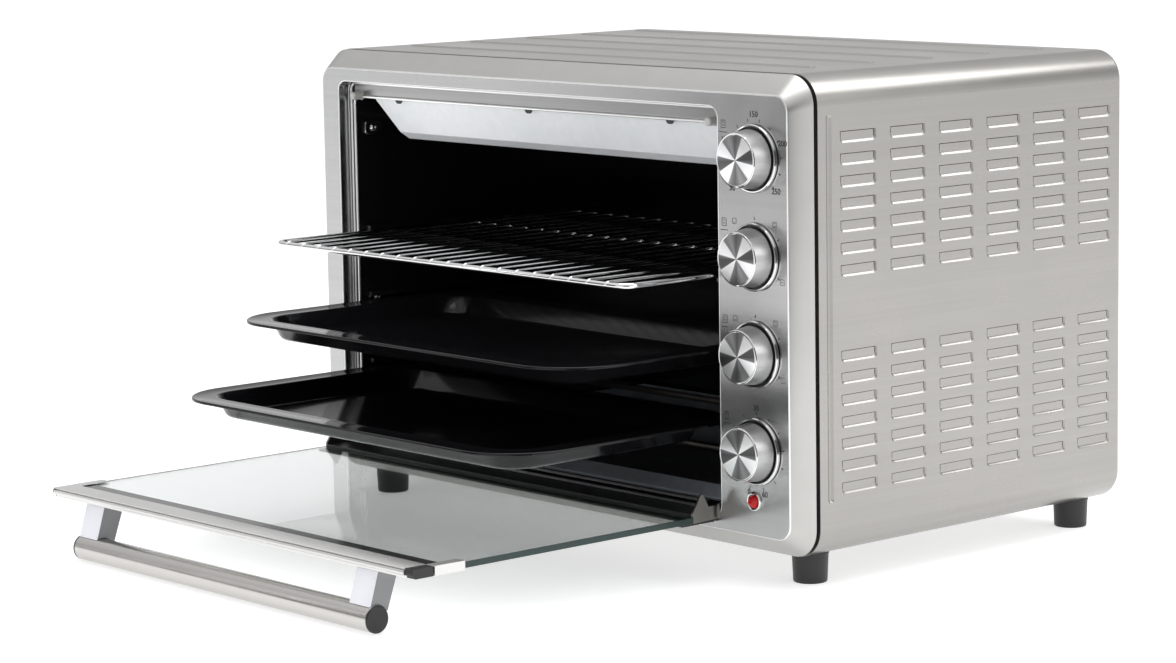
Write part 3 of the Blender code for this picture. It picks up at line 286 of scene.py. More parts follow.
def brushed_metal(name, dark, light, roughness, stretch, bump=0.06):
    """Brushed metal: two tones of grain, blotches in its roughness and a fine grooved height."""
    made, nodes, links, _ = blank_material(name, {"Metallic": 1.0})
    grain = masks_from(nodes, links, BRUSHED_GRAIN)
    grain.inputs["Stretch"].default_value = stretch
    tint(nodes, links, grain.outputs["Streaks"], dark, light)
    roughen(nodes, links, grain.outputs["Blotches"], roughness - 0.04, roughness + 0.05, 0.3, 0.7)
    emboss(nodes, links, grain.outputs["Height"], bump)
    return made


def new_piece(name, bm, finishes, crease=30, flats=False):
    """Makes a mesh piece; open edges, edges over the crease angle and rims of flats stay sharp."""
    bm.normal_update()
    for edge in bm.edges:
        edge.smooth = len(edge.link_faces) > 1
        if len(edge.link_faces) == 2:
            flat = [max(abs(c) for c in f.normal) > 0.9999 for f in edge.link_faces]
            if edge.calc_face_angle(0) > math.radians(crease) or (flats and flat[0] != flat[1]):
                edge.smooth = False
    for face in bm.faces:
        face.smooth = True
    piece = placed(name, finished_mesh(name, bm))
    for finish in finishes if isinstance(finishes, (list, tuple)) else [finishes]:
        piece.data.materials.append(finish)
    return piece


wrapper_low, wrapper_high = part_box("outer_wrapper")
rib_height = 1.0 * MM
roof = wrapper_high.z - rib_height
side = wrapper_high.x
corner_radius, rear_radius, rear_fold, front_fold, under_lip = (v * MM for v in (24, 5, 7, 9, 240))
bm = bmesh.new()
size = Vector((2 * side, wrapper_high.y - wrapper_low.y, roof - wrapper_low.z))
middle = Vector((0, (wrapper_low.y + wrapper_high.y) / 2, (wrapper_low.z + roof) / 2))
bmesh.ops.create_cube(bm, size=1, matrix=Matrix.Translation(middle) @ Matrix.Diagonal((*size, 1)))
long_edges = [e for e in bm.edges if abs(e.verts[0].co.y - e.verts[1].co.y) > 0.1]
round_edges(bm, long_edges, corner_radius, 20)
bm.normal_update()
rear = [f for f in bm.faces if f.normal.y > 0.99][0]
round_edges(bm, rear.edges, rear_radius, 5)
bm.normal_update()
rear = max((f for f in bm.faces if f.normal.y > 0.99), key=lambda f: f.calc_area())
press(bm, rear, (0, 1, 0), ((rear_fold, 0), (0.3 * MM, -4.5 * MM)))
cut_out(bm, rear)
bm.normal_update()
front = [f for f in bm.faces if f.normal.y < -0.99][0]
press(bm, front, (0, -1, 0), ((0.3 * MM, 0.0), (front_fold, 0.0)))
cut_out(bm, front)
under_top = wrapper_low.z + 12 * MM
for x, normal in ((under_lip, 1), (-under_lip, -1)):
    under = [f for f in bm.faces if f.calc_center_median().z < under_top]
    bmesh.ops.bisect_plane(bm, geom=with_rims(under), dist=1e-6, plane_co=(x, 0, 0), plane_no=(normal, 0, 0))
middle_strip = [f for f in bm.faces if abs(f.calc_center_median().x) < under_lip - MM
                and f.calc_center_median().z < under_top]
bmesh.ops.delete(bm, geom=middle_strip, context="FACES")

bm.normal_update()
flat_faces = [f for f in bm.faces if abs(f.normal.x) > 0.9999 or f.normal.z > 0.9999]
cut_out(bm, *(f for f in flat_faces if f.calc_area() > 0.01))

louvre_first_y = wrapper_low.y + 24 * MM
louvre_pitch_y, louvre_length, louvre_pitch_z = 55.4 * MM, 40 * MM, 17.2 * MM
louvre_tops = [wrapper_low.z + 330.5 * MM, wrapper_low.z + 160.9 * MM]
louvre_drop = 9.2 * MM
louvre_steps = ((0.3 * MM, -0.15 * MM), (0.65 * MM, -0.5 * MM), (0.65 * MM, -0.5 * MM),
                (0.5 * MM, -0.15 * MM))
pocket = bmesh.new()
face = rounded_face(pocket, "X", side, (0, -louvre_drop), (louvre_length, 3.5 * MM), 3.6 * MM, 5,
                    corners=(0, 1))
press(pocket, face, (1, 0, 0), louvre_steps)
bmesh.ops.bisect_plane(pocket, geom=pocket.verts[:] + pocket.edges[:] + pocket.faces[:], dist=1e-7,
                       plane_co=(0, 0, 0), plane_no=(0, 0, 1), clear_outer=True)
deepest = min(v.co.x for v in pocket.verts)
inner = [f for f in pocket.faces if max(v.co.x for v in f.verts) < deepest + 1e-5]
slit = 0.7 * MM
bmesh.ops.bisect_plane(pocket, geom=with_rims(inner), dist=1e-7, plane_co=(0, 0, -slit),
                       plane_no=(0, 0, 1), clear_outer=True)
top_corners = [v for v in pocket.verts if abs(v.co.z) < 1e-6 and abs(v.co.x - side) < 1e-6]
top_corners.sort(key=lambda v: v.co.y)
pocket.edges.new((top_corners[0], top_corners[-1]))
pocket_mesh = finished_mesh("pressed_louvre", pocket)

bead_y, bead_half, bead_low, bead_high = wrapper_low.y + 12 * MM, 3.2 * MM, 43 * MM, 344 * MM
right_side = bmesh.new()
for top in louvre_tops:
    for row in range(7):
        for column in range(6):
            start = len(right_side.verts)
            right_side.from_mesh(pocket_mesh)
            right_side.verts.ensure_lookup_table()
            shift = (0, louvre_first_y + louvre_pitch_y * column, top - louvre_pitch_z * row)
            bmesh.ops.translate(right_side, verts=right_side.verts[start:], vec=shift)
bead = rounded_face(right_side, "X", side, (bead_y - bead_half, wrapper_low.z + bead_low),
                    (bead_y + bead_half, wrapper_low.z + bead_high), bead_half * 0.85, 5)
press(right_side, bead, (1, 0, 0), ((0.4 * MM, -0.2 * MM), (1.6 * MM, -1.3 * MM), (0.5 * MM, -0.2 * MM)))
right_mesh = finished_mesh("louvred_side", right_side)
for mirrored in (False, True):
    start_verts, start_faces = len(bm.verts), len(bm.faces)
    bm.from_mesh(right_mesh)
    bm.verts.ensure_lookup_table()
    bm.faces.ensure_lookup_table()
    if mirrored:
        bmesh.ops.scale(bm, verts=bm.verts[start_verts:], vec=(-1, 1, 1))
        bmesh.ops.reverse_faces(bm, faces=bm.faces[start_faces:])

rib_first_y, rib_pitch, rib_half = wrapper_low.y + 58 * MM, 67 * MM, 4 * MM
for index in range(5):
    y = rib_first_y + rib_pitch * index
    rib = rounded_face(bm, "Z", roof, (-side + 38 * MM, y - rib_half),
                       (side - 60 * MM, y + rib_half), rib_half * 0.85, 6)
    press(bm, rib, (0, 0, 1), ((0.5 * MM, 0.12 * MM), (0.9 * MM, 0.5 * MM), (0.9 * MM, 0.36 * MM)))
for axis, place in (("x", side), ("x", -side), ("z", roof)):
    rim = [e for e in bm.edges if len(e.link_faces) < 2
           and all(abs(getattr(v.co, axis) - place) < 1e-6 for v in e.verts)]
    if axis == "z":
        rim = [e for e in rim if all(v.co.y < wrapper_high.y - MM for v in e.verts)]
    facing = Vector((math.copysign(1, place), 0, 0)) if axis == "x" else Vector((0, 0, 1))
    bmesh.ops.triangle_fill(bm, use_beauty=True, use_dissolve=False, edges=rim, normal=facing)
bmesh.ops.remove_doubles(bm, verts=bm.verts[:], dist=1e-6)
bmesh.ops.recalc_face_normals(bm, faces=bm.faces[:])
WRAPPER_STEEL = brushed_metal("brushed_steel_along_y", (0.33, 0.32, 0.305), (0.41, 0.40, 0.38), 0.30,
                              (300, 3, 300))
wrapper = new_piece("wrapper_sheet", bm, WRAPPER_STEEL, flats=True)
thickness = wrapper.modifiers.new("sheet_thickness", "SOLIDIFY")
thickness.thickness = 0.8 * MM
thickness.offset = -1
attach(wrapper, "oven_body")
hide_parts("outer_wrapper")

# ---- Front bezel ----
# A pressed stainless face plate with a sloped border. The door opening is turned in to a jamb, and
# the control panel is the wide part at its right. The flat face is brushed from side to side. Rolled
# edges that face the light, and the roll of the jamb, take a pale finish: a painted highlight.
bezel_low, bezel_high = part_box("front_bezel")
flange_low, flange_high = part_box("cavity_front_flange")
face_y, fold_y = bezel_low.y, bezel_high.y
slope_side, slope_top = 10.7 * MM, 15.2 * MM
sheet = 1.0 * MM
opening_left, opening_right = flange_low.x + sheet, flange_high.x - sheet
opening_bottom, opening_top = flange_low.z + sheet, flange_high.z - sheet
bm = bmesh.new()
front = rounded_face(bm, "Y", face_y, (bezel_low.x + slope_side, bezel_low.z + slope_top),
                     (bezel_high.x - slope_side, bezel_high.z - slope_top),
                     corner_radius - slope_side, 12)
back = rounded_face(bm, "Y", fold_y, (bezel_low.x, bezel_low.z), (bezel_high.x, bezel_high.z),
                    corner_radius, 12)
bmesh.ops.bridge_loops(bm, edges=list(front.edges) + list(back.edges))
bmesh.ops.recalc_face_normals(bm, faces=bm.faces[:])
round_edges(bm, front.edges, 1.1 * MM, 4)
round_edges(bm, back.edges, 1.0 * MM, 3)
bm.normal_update()
back = max((f for f in bm.faces if f.normal.y > 0.999), key=lambda f: f.calc_area())
press(bm, back, (0, 1, 0), ((5 * MM, 0),))
front = max((f for f in bm.faces if f.normal.y < -0.999), key=lambda f: f.calc_area())
cut_out(bm, back, front)
jamb_steps = ((0.25 * MM, 0.10 * MM), (0.45 * MM, -0.1 * MM), (0.35 * MM, -0.4 * MM),
              (0.1 * MM, -0.6 * MM), (0.01 * MM, -12.6 * MM))
jamb_roll = sum(step[0] for step in jamb_steps)
opening = rounded_face(bm, "Y", face_y, (opening_left - jamb_roll, opening_bottom - jamb_roll),
                       (opening_right + jamb_roll, opening_top + jamb_roll), 9 * MM + jamb_roll, 8)
press(bm, opening, (0, -1, 0), jamb_steps)
cut_out(bm, opening)
rim = [e for e in bm.edges if len(e.link_faces) < 2
       and all(abs(v.co.y - face_y) < 1e-6 for v in e.verts)]
bmesh.ops.triangle_fill(bm, use_beauty=True, use_dissolve=False, edges=rim, normal=(0, -1, 0))
bmesh.ops.recalc_face_normals(bm, faces=bm.faces[:])
for bezel_face in bm.faces:
    middle = bezel_face.calc_center_median()
    inside = opening_left - 2 * MM < middle.x < opening_right + 2 * MM
    inside = inside and opening_bottom - 2 * MM < middle.z < opening_top + 2 * MM
    # Rolled faces that face the light, and those of the jamb, get the pale edge finish: painted highlight.
    if abs(bezel_face.normal.y) < 0.999:
        rolled = middle.y < face_y + 1.2 * MM
        lit = inside or (bezel_face.normal.y < -0.75 and bezel_face.normal.z > -0.3)
        bezel_face.material_index = 2 if rolled and lit else int(not inside)
FACE_STEEL = brushed_metal("brushed_steel_along_x", (0.42, 0.42, 0.425), (0.57, 0.57, 0.57), 0.24,
                           (3, 300, 300), bump=0.05)
BORDER_STEEL = brushed_metal("satin_steel_border", (0.46, 0.455, 0.44), (0.54, 0.535, 0.52), 0.33,
                             (40, 40, 40), bump=0.02)
ROLLED_EDGE_PAINTED_HIGHLIGHT = brushed_metal("rolled_edge_painted_highlight", (0.84, 0.84, 0.83), (0.94, 0.94, 0.93), 0.32,
                            (60, 60, 60), bump=0.01)
bezel = new_piece("bezel_plate", bm, [FACE_STEEL, BORDER_STEEL, ROLLED_EDGE_PAINTED_HIGHLIGHT], flats=True)
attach(bezel, "oven_body")
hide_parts("front_bezel")

# ---- Dark frame in the joint ----
# A black frame stands between the bezel and the wrapper, a little inside both, so the joint shows
# as a dark groove round the whole body: painted shade where the gap is in shadow.
UNEVEN, nodes, links, given, result = mask_group(
    "fine_unevenness", (("Coordinate", "Vector"), ("Grit Scale", "Float")),
    (("Cloud", "Float"), ("Grit", "Float")))
cloud = noise_into(nodes, links, given.outputs["Coordinate"], 14, 4)
grit = noise_into(nodes, links, given.outputs["Coordinate"], 400, 2)
links.new(given.outputs["Grit Scale"], grit.inputs["Scale"])
links.new(cloud.outputs["Fac"], result.inputs["Cloud"])
links.new(grit.outputs["Fac"], result.inputs["Grit"])


def plain_finish(name, colour, roughness, metallic=0.0, speckle=0.04, scale=400.0):
    """A moulded or painted finish with a fine uneven tone and roughness."""
    made, nodes, links, _ = blank_material(name, {"Metallic": metallic})
    uneven = masks_from(nodes, links, UNEVEN)
    uneven.inputs["Grit Scale"].default_value = scale
    tint(nodes, links, uneven.outputs["Cloud"], [c * (1 - 4 * speckle) for c in colour],
         [min(1, c * (1 + 4 * speckle)) for c in colour])
    roughen(nodes, links, uneven.outputs["Cloud"], max(0.02, roughness - speckle), roughness + speckle)
    emboss(nodes, links, uneven.outputs["Grit"], speckle)
    return made


# Black paint; the same black also stands in as painted shade in the body joint and the knob grooves.
BLACK_PAINT_AND_SHADE = plain_finish("black_paint_and_painted_shade", (0.012, 0.012, 0.012), 0.35)
bm = bmesh.new()
set_in = 4.5 * MM
joint_painted_shade_frame = rounded_face(bm, "Y", fold_y + 0.2 * MM, (bezel_low.x + set_in, bezel_low.z + set_in),
                           (bezel_high.x - set_in, bezel_high.z - set_in), corner_radius - set_in, 10)
press(bm, joint_painted_shade_frame, (0, -1, 0), ((0.01 * MM, -9 * MM),))
cut_out(bm, joint_painted_shade_frame)
bmesh.ops.recalc_face_normals(bm, faces=bm.faces[:])
joint_painted_shade_frame = new_piece("joint_painted_shade_frame", bm, BLACK_PAINT_AND_SHADE)
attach(joint_painted_shade_frame, "oven_body")

# ---- Knobs ----
# Four turned knobs: a spun aluminium cap with a bright turned edge, a brushed skirt and a flange
# that hides the hole in the panel. The cap's bright and dark sectors are a painted reflection in its
# base colour, in place of what fine turning marks throw, and they turn with the knob. The groove
# between skirt and flange is black: painted shade.
def spun(bm, profile, centre, axis, sides=64):
    """Turns a line of (radius, along) points once round an axis through centre."""
    centre, axis = Vector(centre), Vector(axis)
    outward = Vector((0, 0, 1)) if abs(axis.z) < 0.5 else Vector((1, 0, 0))
    verts = [bm.verts.new(centre + outward * radius + axis * along) for radius, along in profile]
    edges = [bm.edges.new(pair) for pair in zip(verts, verts[1:])]
    before = set(bm.faces)
    bmesh.ops.spin(bm, geom=verts + edges, cent=centre, axis=axis, dvec=(0, 0, 0),
                   angle=math.tau, steps=sides, use_merge=True, use_duplicate=False)
    made = [f for f in bm.faces if f not in before]
    turned_verts = list({v for f in made for v in f.verts})
    bmesh.ops.remove_doubles(bm, verts=turned_verts, dist=1e-6)
    made = [f for f in bm.faces if f not in before]
    bmesh.ops.recalc_face_normals(bm, faces=made)
    return made


SKIRT_METAL = brushed_metal("turned_aluminium_skirt", (0.36, 0.36, 0.36), (0.60, 0.60, 0.60), 0.38,
                            (500, 4, 500), bump=0.06)
SPUN_CAP_PAINTED_REFLECTION, nodes, links, cap_shader = blank_material("spun_cap_painted_reflection", {"Metallic": 1.0})
cap_place, cap_split = nodes.new("ShaderNodeUVMap"), nodes.new("ShaderNodeSeparateXYZ")
cap_place.uv_map = "knob_plane"
links.new(cap_place.outputs[0], cap_split.inputs[0])
cap_angle, cap_share, cap_part = (nodes.new("ShaderNodeMath") for _ in range(3))
cap_angle.operation = "ARCTAN2"
links.new(cap_split.outputs["Y"], cap_angle.inputs[0])
links.new(cap_split.outputs["X"], cap_angle.inputs[1])
cap_share.operation, cap_share.inputs[1].default_value = "DIVIDE", math.pi
links.new(cap_angle.outputs[0], cap_share.inputs[0])
cap_part.operation, cap_part.inputs[1].default_value = "FLOORED_MODULO", 1.0
links.new(cap_share.outputs[0], cap_part.inputs[0])
# Painted reflection: bright and dark sectors by the angle round the knob, set in the base colour.
cap_painted_reflection = nodes.new("ShaderNodeValToRGB")
links.new(cap_part.outputs[0], cap_painted_reflection.inputs["Fac"])
sectors = cap_painted_reflection.color_ramp.elements
sectors[0].position, sectors[0].color = 0.0, (0.16, 0.162, 0.166, 1)
sectors[1].position, sectors[1].color = 1.0, (0.16, 0.162, 0.166, 1)
for share, shade in ((0.03, 0.10), (0.15, 0.13), (0.17, 1.0), (0.36, 1.0), (0.385, 0.28), (0.50, 0.14),
                     (0.62, 0.32), (0.74, 0.20), (0.77, 0.85), (0.95, 1.0), (0.97, 0.20)):
    sectors.new(share).color = (shade, shade, shade * 1.01, 1)
links.new(cap_painted_reflection.outputs["Color"], cap_shader.inputs["Base Color"])
cap_rings = nodes.new("ShaderNodeTexWave")
cap_rings.wave_type, cap_rings.rings_direction = "RINGS", "SPHERICAL"
cap_rings.inputs["Scale"].default_value = 260
links.new(cap_place.outputs[0], cap_rings.inputs["Vector"])
emboss(nodes, links, cap_rings.outputs["Fac"], 0.02, 0.05 * MM)
roughen(nodes, links, cap_rings.outputs["Fac"], 0.34, 0.42)
EDGE_METAL = plain_finish("turned_edge", (0.78, 0.78, 0.77), 0.12, metallic=1.0, speckle=0.02)

control_names = ("thermostat", "upper_heat_switch", "lower_heat_switch", "timer")
for control in control_names:
    knob_low, knob_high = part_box(control + "_knob")
    centre = Vector(((knob_low.x + knob_high.x) / 2, knob_high.y, (knob_low.z + knob_high.z) / 2))
    reach = knob_high.y - knob_low.y
    deep = reach / MM
    profile = [(0, 0), (19.4, 0.0), (20.0, 0.3), (20.6, 0.1), (21.1, 0.6), (23.0, deep - 3.4),
               (23.1, deep - 0.8), (24.4, deep - 0.8), (24.6, deep - 2.0), (25.0, deep - 2.4),
               (25.9, deep - 2.3), (26.5, deep - 1.6), (26.5, deep)]
    bm = bmesh.new()
    spun(bm, [(r * MM, a * MM) for r, a in profile], (centre.x, knob_low.y, centre.z), (0, 1, 0), 72)
    plane = bm.loops.layers.uv.new("knob_plane")
    for knob_face in bm.faces:
        for corner in knob_face.loops:
            corner[plane].uv = (corner.vert.co.x - centre.x, corner.vert.co.z - centre.z)
        ring = (knob_face.calc_center_median() - centre)
        span = math.hypot(ring.x, ring.z)
        front_face = ring.y < -reach + 0.4 * MM
        knob_face.material_index = 0 if span < 19.3 * MM and front_face else 2 if front_face else 1
        # Faces in the groove between skirt and flange take black: painted shade in the recess.
        if span > 23.02 * MM:
            knob_face.material_index = 3 if span < 24.55 * MM else 2
    knob = new_piece(control + "_knob_cap", bm, [SPUN_CAP_PAINTED_REFLECTION, SKIRT_METAL, EDGE_METAL, BLACK_PAINT_AND_SHADE], crease=35)
    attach(knob, control + "_dial")
    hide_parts(control + "_knob")

# ---- Panel marks ----
# Generic scales printed on the panel round the knobs: ticks, temperatures and minutes in figures,
# and small pictures of an oven box for the heat switches.
INK = plain_finish("dark_grey_ink", (0.012, 0.012, 0.014), 0.6)
ink_y = face_y - 0.06 * MM
scales = {
    "thermostat": (270, 11, ("50", "100", "150", "200", "250")),
    "upper_heat_switch": (240, 4, ()),
    "lower_heat_switch": (240, 4, ()),
    "timer": (330, 12, ("0", "15", "30", "45", "60")),
}
bm = bmesh.new()
figures = []
for control, (sweep, ticks, labels) in scales.items():
    knob_low, knob_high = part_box(control + "_knob")
    centre = Vector(((knob_low.x + knob_high.x) / 2, ink_y, (knob_low.z + knob_high.z) / 2))
    for tick in range(ticks + 1):
        angle = math.radians(-sweep / 2 + sweep * tick / ticks)
        outward = Vector((math.sin(angle), 0, math.cos(angle)))
        across = Vector((outward.z, 0, -outward.x))
        start, end, half = centre + outward * 28.6 * MM, centre + outward * 31.0 * MM, across * 0.40 * MM
        bm.faces.new([bm.verts.new(p) for p in (start - half, end - half, end + half, start + half)])
    for place, label in enumerate(labels):
        angle = math.radians(-sweep / 2 + sweep * place / (len(labels) - 1))
        if abs(math.sin(angle)) > 0.97 and math.sin(angle) > 0:
            continue
        figures.append((label, centre + Vector((math.sin(angle), 0, math.cos(angle))) * 34.0 * MM))
    spot = centre + Vector((-33.5 * MM, 0, 25 * MM))
    icon = rounded_face(bm, "Y", ink_y, (spot.x - 2.6 * MM, spot.z - 3.2 * MM),
                        (spot.x + 2.6 * MM, spot.z + 3.2 * MM), 0.9 * MM, 3)
    press(bm, icon, (0, -1, 0), ((0.5 * MM, 0),))
    cut_out(bm, icon)
    for drop, wide in ((1.3, 1.3), (-0.9, 1.3), (-6.2, 4.2)):
        rounded_face(bm, "Y", ink_y, (spot.x - wide * MM, spot.z + (drop - 0.28) * MM),
                     (spot.x + wide * MM, spot.z + (drop + 0.28) * MM), 0.2 * MM, 1)
    if not labels:
        for place in range(4):
            angle = math.radians(-sweep / 2 + sweep * place / 3)
            spot = centre + Vector((math.sin(angle), 0, math.cos(angle))) * 34.5 * MM
            box_half = 2.3 * MM
            box = rounded_face(bm, "Y", ink_y, (spot.x - box_half, spot.z - box_half),
                               (spot.x + box_half, spot.z + box_half), 0.5 * MM, 2)
            press(bm, box, (0, -1, 0), ((0.4 * MM, 0),))
            cut_out(bm, box)
            for level in ((1.0,), (-1.0,), (1.0, -1.0), (0.0,))[place]:
                low = (spot.x - 1.2 * MM, spot.z + (level - 0.22) * MM)
                high = (spot.x + 1.2 * MM, spot.z + (level + 0.22) * MM)
                rounded_face(bm, "Y", ink_y, low, high, 0.15 * MM, 1)
for label, spot in figures:
    text = bpy.data.curves.new("figure", "FONT")
    text.body, text.size, text.align_x, text.align_y = label, 6.4 * MM, "CENTER", "CENTER"
    text.resolution_u, text.offset = 3, 0.13 * MM
    holder = placed("figure", text)
    bpy.context.view_layer.update()
    flat = bpy.data.meshes.new_from_object(holder.evaluated_get(bpy.context.evaluated_depsgraph_get()))
    flat.transform(Matrix.Translation(spot) @ Matrix.Rotation(math.pi / 2, 4, "X"))
    bm.from_mesh(flat)
    bpy.data.objects.remove(holder)
bm.normal_update()
bmesh.ops.reverse_faces(bm, faces=[f for f in bm.faces if f.normal.y > 0])
marks = new_piece("panel_marks", bm, INK)
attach(marks, "oven_body")

# ---- Pilot lamp ----
# A clear red plastic lens cut in facets, snapped into the panel in a bright ring.
lens_low, lens_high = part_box("pilot_lens")
lens_centre = (lens_low + lens_high) / 2
lens_radius = (lens_high.x - lens_low.x) / 2
bm = bmesh.new()
bmesh.ops.create_uvsphere(bm, u_segments=10, v_segments=8, radius=1)
bmesh.ops.rotate(bm, verts=bm.verts[:], cent=(0, 0, 0), matrix=Matrix.Rotation(math.pi / 2, 3, "X"))
bmesh.ops.scale(bm, verts=bm.verts[:], vec=(lens_radius, lens_high.y - lens_low.y, lens_radius))
bmesh.ops.translate(bm, verts=bm.verts[:], vec=(lens_centre.x, lens_high.y, lens_centre.z))
bmesh.ops.recalc_face_normals(bm, faces=bm.faces[:])
RED_LENS = plain_finish("red_lens_plastic", (0.48, 0.003, 0.005), 0.22, speckle=0.05, scale=900)
RED_LENS.node_tree.nodes["Principled BSDF"].inputs["Specular IOR Level"].default_value = 0.35
lens = new_piece("pilot_lens_facets", bm, RED_LENS, crease=8)
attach(lens, "oven_body")
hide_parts("pilot_lens")
CHROME = plain_finish("chrome_plate", (0.80, 0.80, 0.80), 0.10, metallic=1.0, speckle=0.02)
ring_low, ring_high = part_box("pilot_ring")
bm = bmesh.new()
ring_profile = [(6.0, 0.0), (6.1, -1.5), (6.6, -1.9), (7.2, -1.6), (7.8, -0.2), (7.8, 0.0)]
spun(bm, [(r * MM, a * MM) for r, a in ring_profile], (lens_centre.x, ring_high.y, lens_centre.z),
     (0, 1, 0), 48)
ring = new_piece("pilot_ring_polished", bm, CHROME)
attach(ring, "oven_body")
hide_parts("pilot_ring")

# ---- Cavity, its front flange and the shelf guides ----
# Black vitreous enamel fired on pressed steel. The lintel over the mouth is bare brushed sheet, and
# the turned edges of the sheets at the mouth are thin beads in a pale finish: a painted highlight
# that draws them as narrow bright lines.
def enamel(name, roughness, coat=0.25, shine=0.5):
    """Glossy fired enamel with a faint orange peel."""
    made = plain_finish(name, (0.006, 0.006, 0.007), roughness, speckle=0.015, scale=160)
    shader = made.node_tree.nodes["Principled BSDF"]
    shader.inputs["Coat Weight"].default_value, shader.inputs["Coat Roughness"].default_value = coat, 0.03
    shader.inputs["Specular IOR Level"].default_value = shine
    return made


def coat_nodes(finishes):
    """Gives the CAD nodes that stay in view their finishes."""
    for node, finish in finishes.items():
        for material_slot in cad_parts[node].material_slots:
            material_slot.material = finish


CAVITY_ENAMEL = enamel("cavity_enamel", 0.16)
coat_nodes({node: CAVITY_ENAMEL for node in ("cavity_shell", "cavity_front_flange", "fan_guard")})

cavity_low, cavity_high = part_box("cavity_shell")
mouth_left, mouth_right = cavity_low.x + sheet, cavity_high.x - sheet
mouth_floor, mouth_top = cavity_low.z + sheet, cavity_high.z - sheet
LINTEL_STEEL = brushed_metal("lintel_sheet", (0.32, 0.32, 0.325), (0.46, 0.46, 0.46), 0.3, (3, 250, 250))
lintel_y = flange_low.y - 0.5 * MM
bm = bmesh.new()
lintel = rounded_face(bm, "Y", lintel_y, (opening_left + 6 * MM, mouth_top + 1.5 * MM),
                      (opening_right - 6 * MM, opening_top - 1.5 * MM), 1.0 * MM, 3)
press(bm, lintel, (0, -1, 0), ((0.4 * MM, 0.15 * MM), (0.4 * MM, 0.05 * MM)))
lintel = new_piece("lintel_strip", bm, LINTEL_STEEL)
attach(lintel, "oven_body")


def bent_wire(bm, radius, start, heading, legs, sides=10):
    """Draws a round wire from start: legs are lengths to go, or (centre, axis, degrees, steps)."""
    heading = Vector(heading).normalized()
    look = heading.to_track_quat("Z", "Y").to_matrix().to_4x4()
    before = set(bm.faces)
    bmesh.ops.create_circle(bm, cap_ends=True, segments=sides, radius=radius,
                            matrix=Matrix.Translation(start) @ look)
    tip = [f for f in bm.faces if f not in before][0]
    for leg in legs:
        geom = [tip] + list(tip.edges) + list(tip.verts)
        if isinstance(leg, tuple):
            centre, axis, degrees, steps = leg
            done = bmesh.ops.spin(bm, geom=geom, cent=centre, axis=axis, dvec=(0, 0, 0),
                                  angle=math.radians(degrees), steps=steps, use_duplicate=False)
            tip = [g for g in done["geom_last"] if isinstance(g, bmesh.types.BMFace)][0]
            heading = Matrix.Rotation(math.radians(degrees), 3, axis) @ heading
        else:
            done = bmesh.ops.extrude_face_region(bm, geom=[tip])
            tip = [g for g in done["geom"] if isinstance(g, bmesh.types.BMFace)][0]
            bmesh.ops.translate(bm, verts=list(tip.verts), vec=heading * leg)
    bmesh.ops.recalc_face_normals(bm, faces=[f for f in bm.faces if f not in before])
    return tip


bm = bmesh.new()
fold_radius = 1.3 * MM
fold_foot = opening_bottom + 48 * MM
edge = 1.6 * MM
for left, top, y, sill_z in (
        (opening_left + edge, opening_top - edge, flange_low.y - 1.0 * MM, opening_bottom + edge),
        (mouth_left - 1.2 * MM, mouth_top + 0.6 * MM, flange_low.y - 0.9 * MM, mouth_floor - 1.7 * MM)):
    right, bend = opening_left + opening_right - left, 7 * MM
    legs = [top - fold_foot - bend, ((left + bend, y, top - bend), (0, 1, 0), 90, 6),
            right - left - 2 * bend, ((right - bend, y, top - bend), (0, 1, 0), 90, 6),
            top - fold_foot - bend]
    bent_wire(bm, fold_radius, (left, y, fold_foot), (0, 0, 1), legs, 10)
    bent_wire(bm, fold_radius * 0.9, (left + 24 * MM, y, sill_z), (1, 0, 0), [right - left - 48 * MM], 10)
# The beads take the pale edge finish: a painted highlight.
folds = new_piece("mouth_folds", bm, ROLLED_EDGE_PAINTED_HIGHLIGHT)
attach(folds, "oven_body")

# ---- Lintel tabs, bracket and screw at the mouth ----
# Three black half-round tabs hold the reflector under the lintel; a small bracket with a bright
# screw holds the guide rail to the left wall.
bm = bmesh.new()
for share in (0.13, 0.5, 0.87):
    x = mouth_left + (mouth_right - mouth_left) * share
    tab = rounded_face(bm, "Y", lintel_y - 0.3 * MM, (x - 5 * MM, mouth_top - 3.6 * MM),
                       (x + 5 * MM, mouth_top + 1.6 * MM), 3.4 * MM, 6, corners=(0, 1))
    press(bm, tab, (0, -1, 0), ((0.4 * MM, 0.3 * MM), (0.5 * MM, 0.1 * MM)))
tabs = new_piece("lintel_tabs", bm, BLACK_PAINT_AND_SHADE)
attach(tabs, "oven_body")


def screw(bm, place, facing, radius):
    """A domed screw head with a recess."""
    look = Vector(facing).to_track_quat("Z", "Y").to_matrix().to_4x4()
    before = set(bm.faces)
    bmesh.ops.create_circle(bm, cap_ends=True, segments=16, radius=radius,
                            matrix=Matrix.Translation(place) @ look)
    head = [f for f in bm.faces if f not in before][0]
    press(bm, head, facing, ((0, radius * 0.25), (radius * 0.12, radius * 0.16),
                             (radius * 0.25, radius * 0.12), (radius * 0.22, 0),
                             (radius * 0.05, -radius * 0.25)))


bm = bmesh.new()
bracket_z = mouth_top - 28 * MM
for z in (bracket_z, bracket_z - 150 * MM):
    bracket = rounded_face(bm, "X", mouth_left + 0.3 * MM, (cavity_low.y + 6 * MM, z - 6 * MM),
                           (cavity_low.y + 24 * MM, z + 6 * MM), 3 * MM, 4)
    press(bm, bracket, (1, 0, 0), ((0.0, 1.2 * MM), (0.5 * MM, 0.4 * MM)))
    screw(bm, (mouth_left + 1.9 * MM, cavity_low.y + 15 * MM, z), (1, 0, 0), 3.4 * MM)
brackets = new_piece("guide_brackets", bm, CHROME)
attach(brackets, "oven_body")

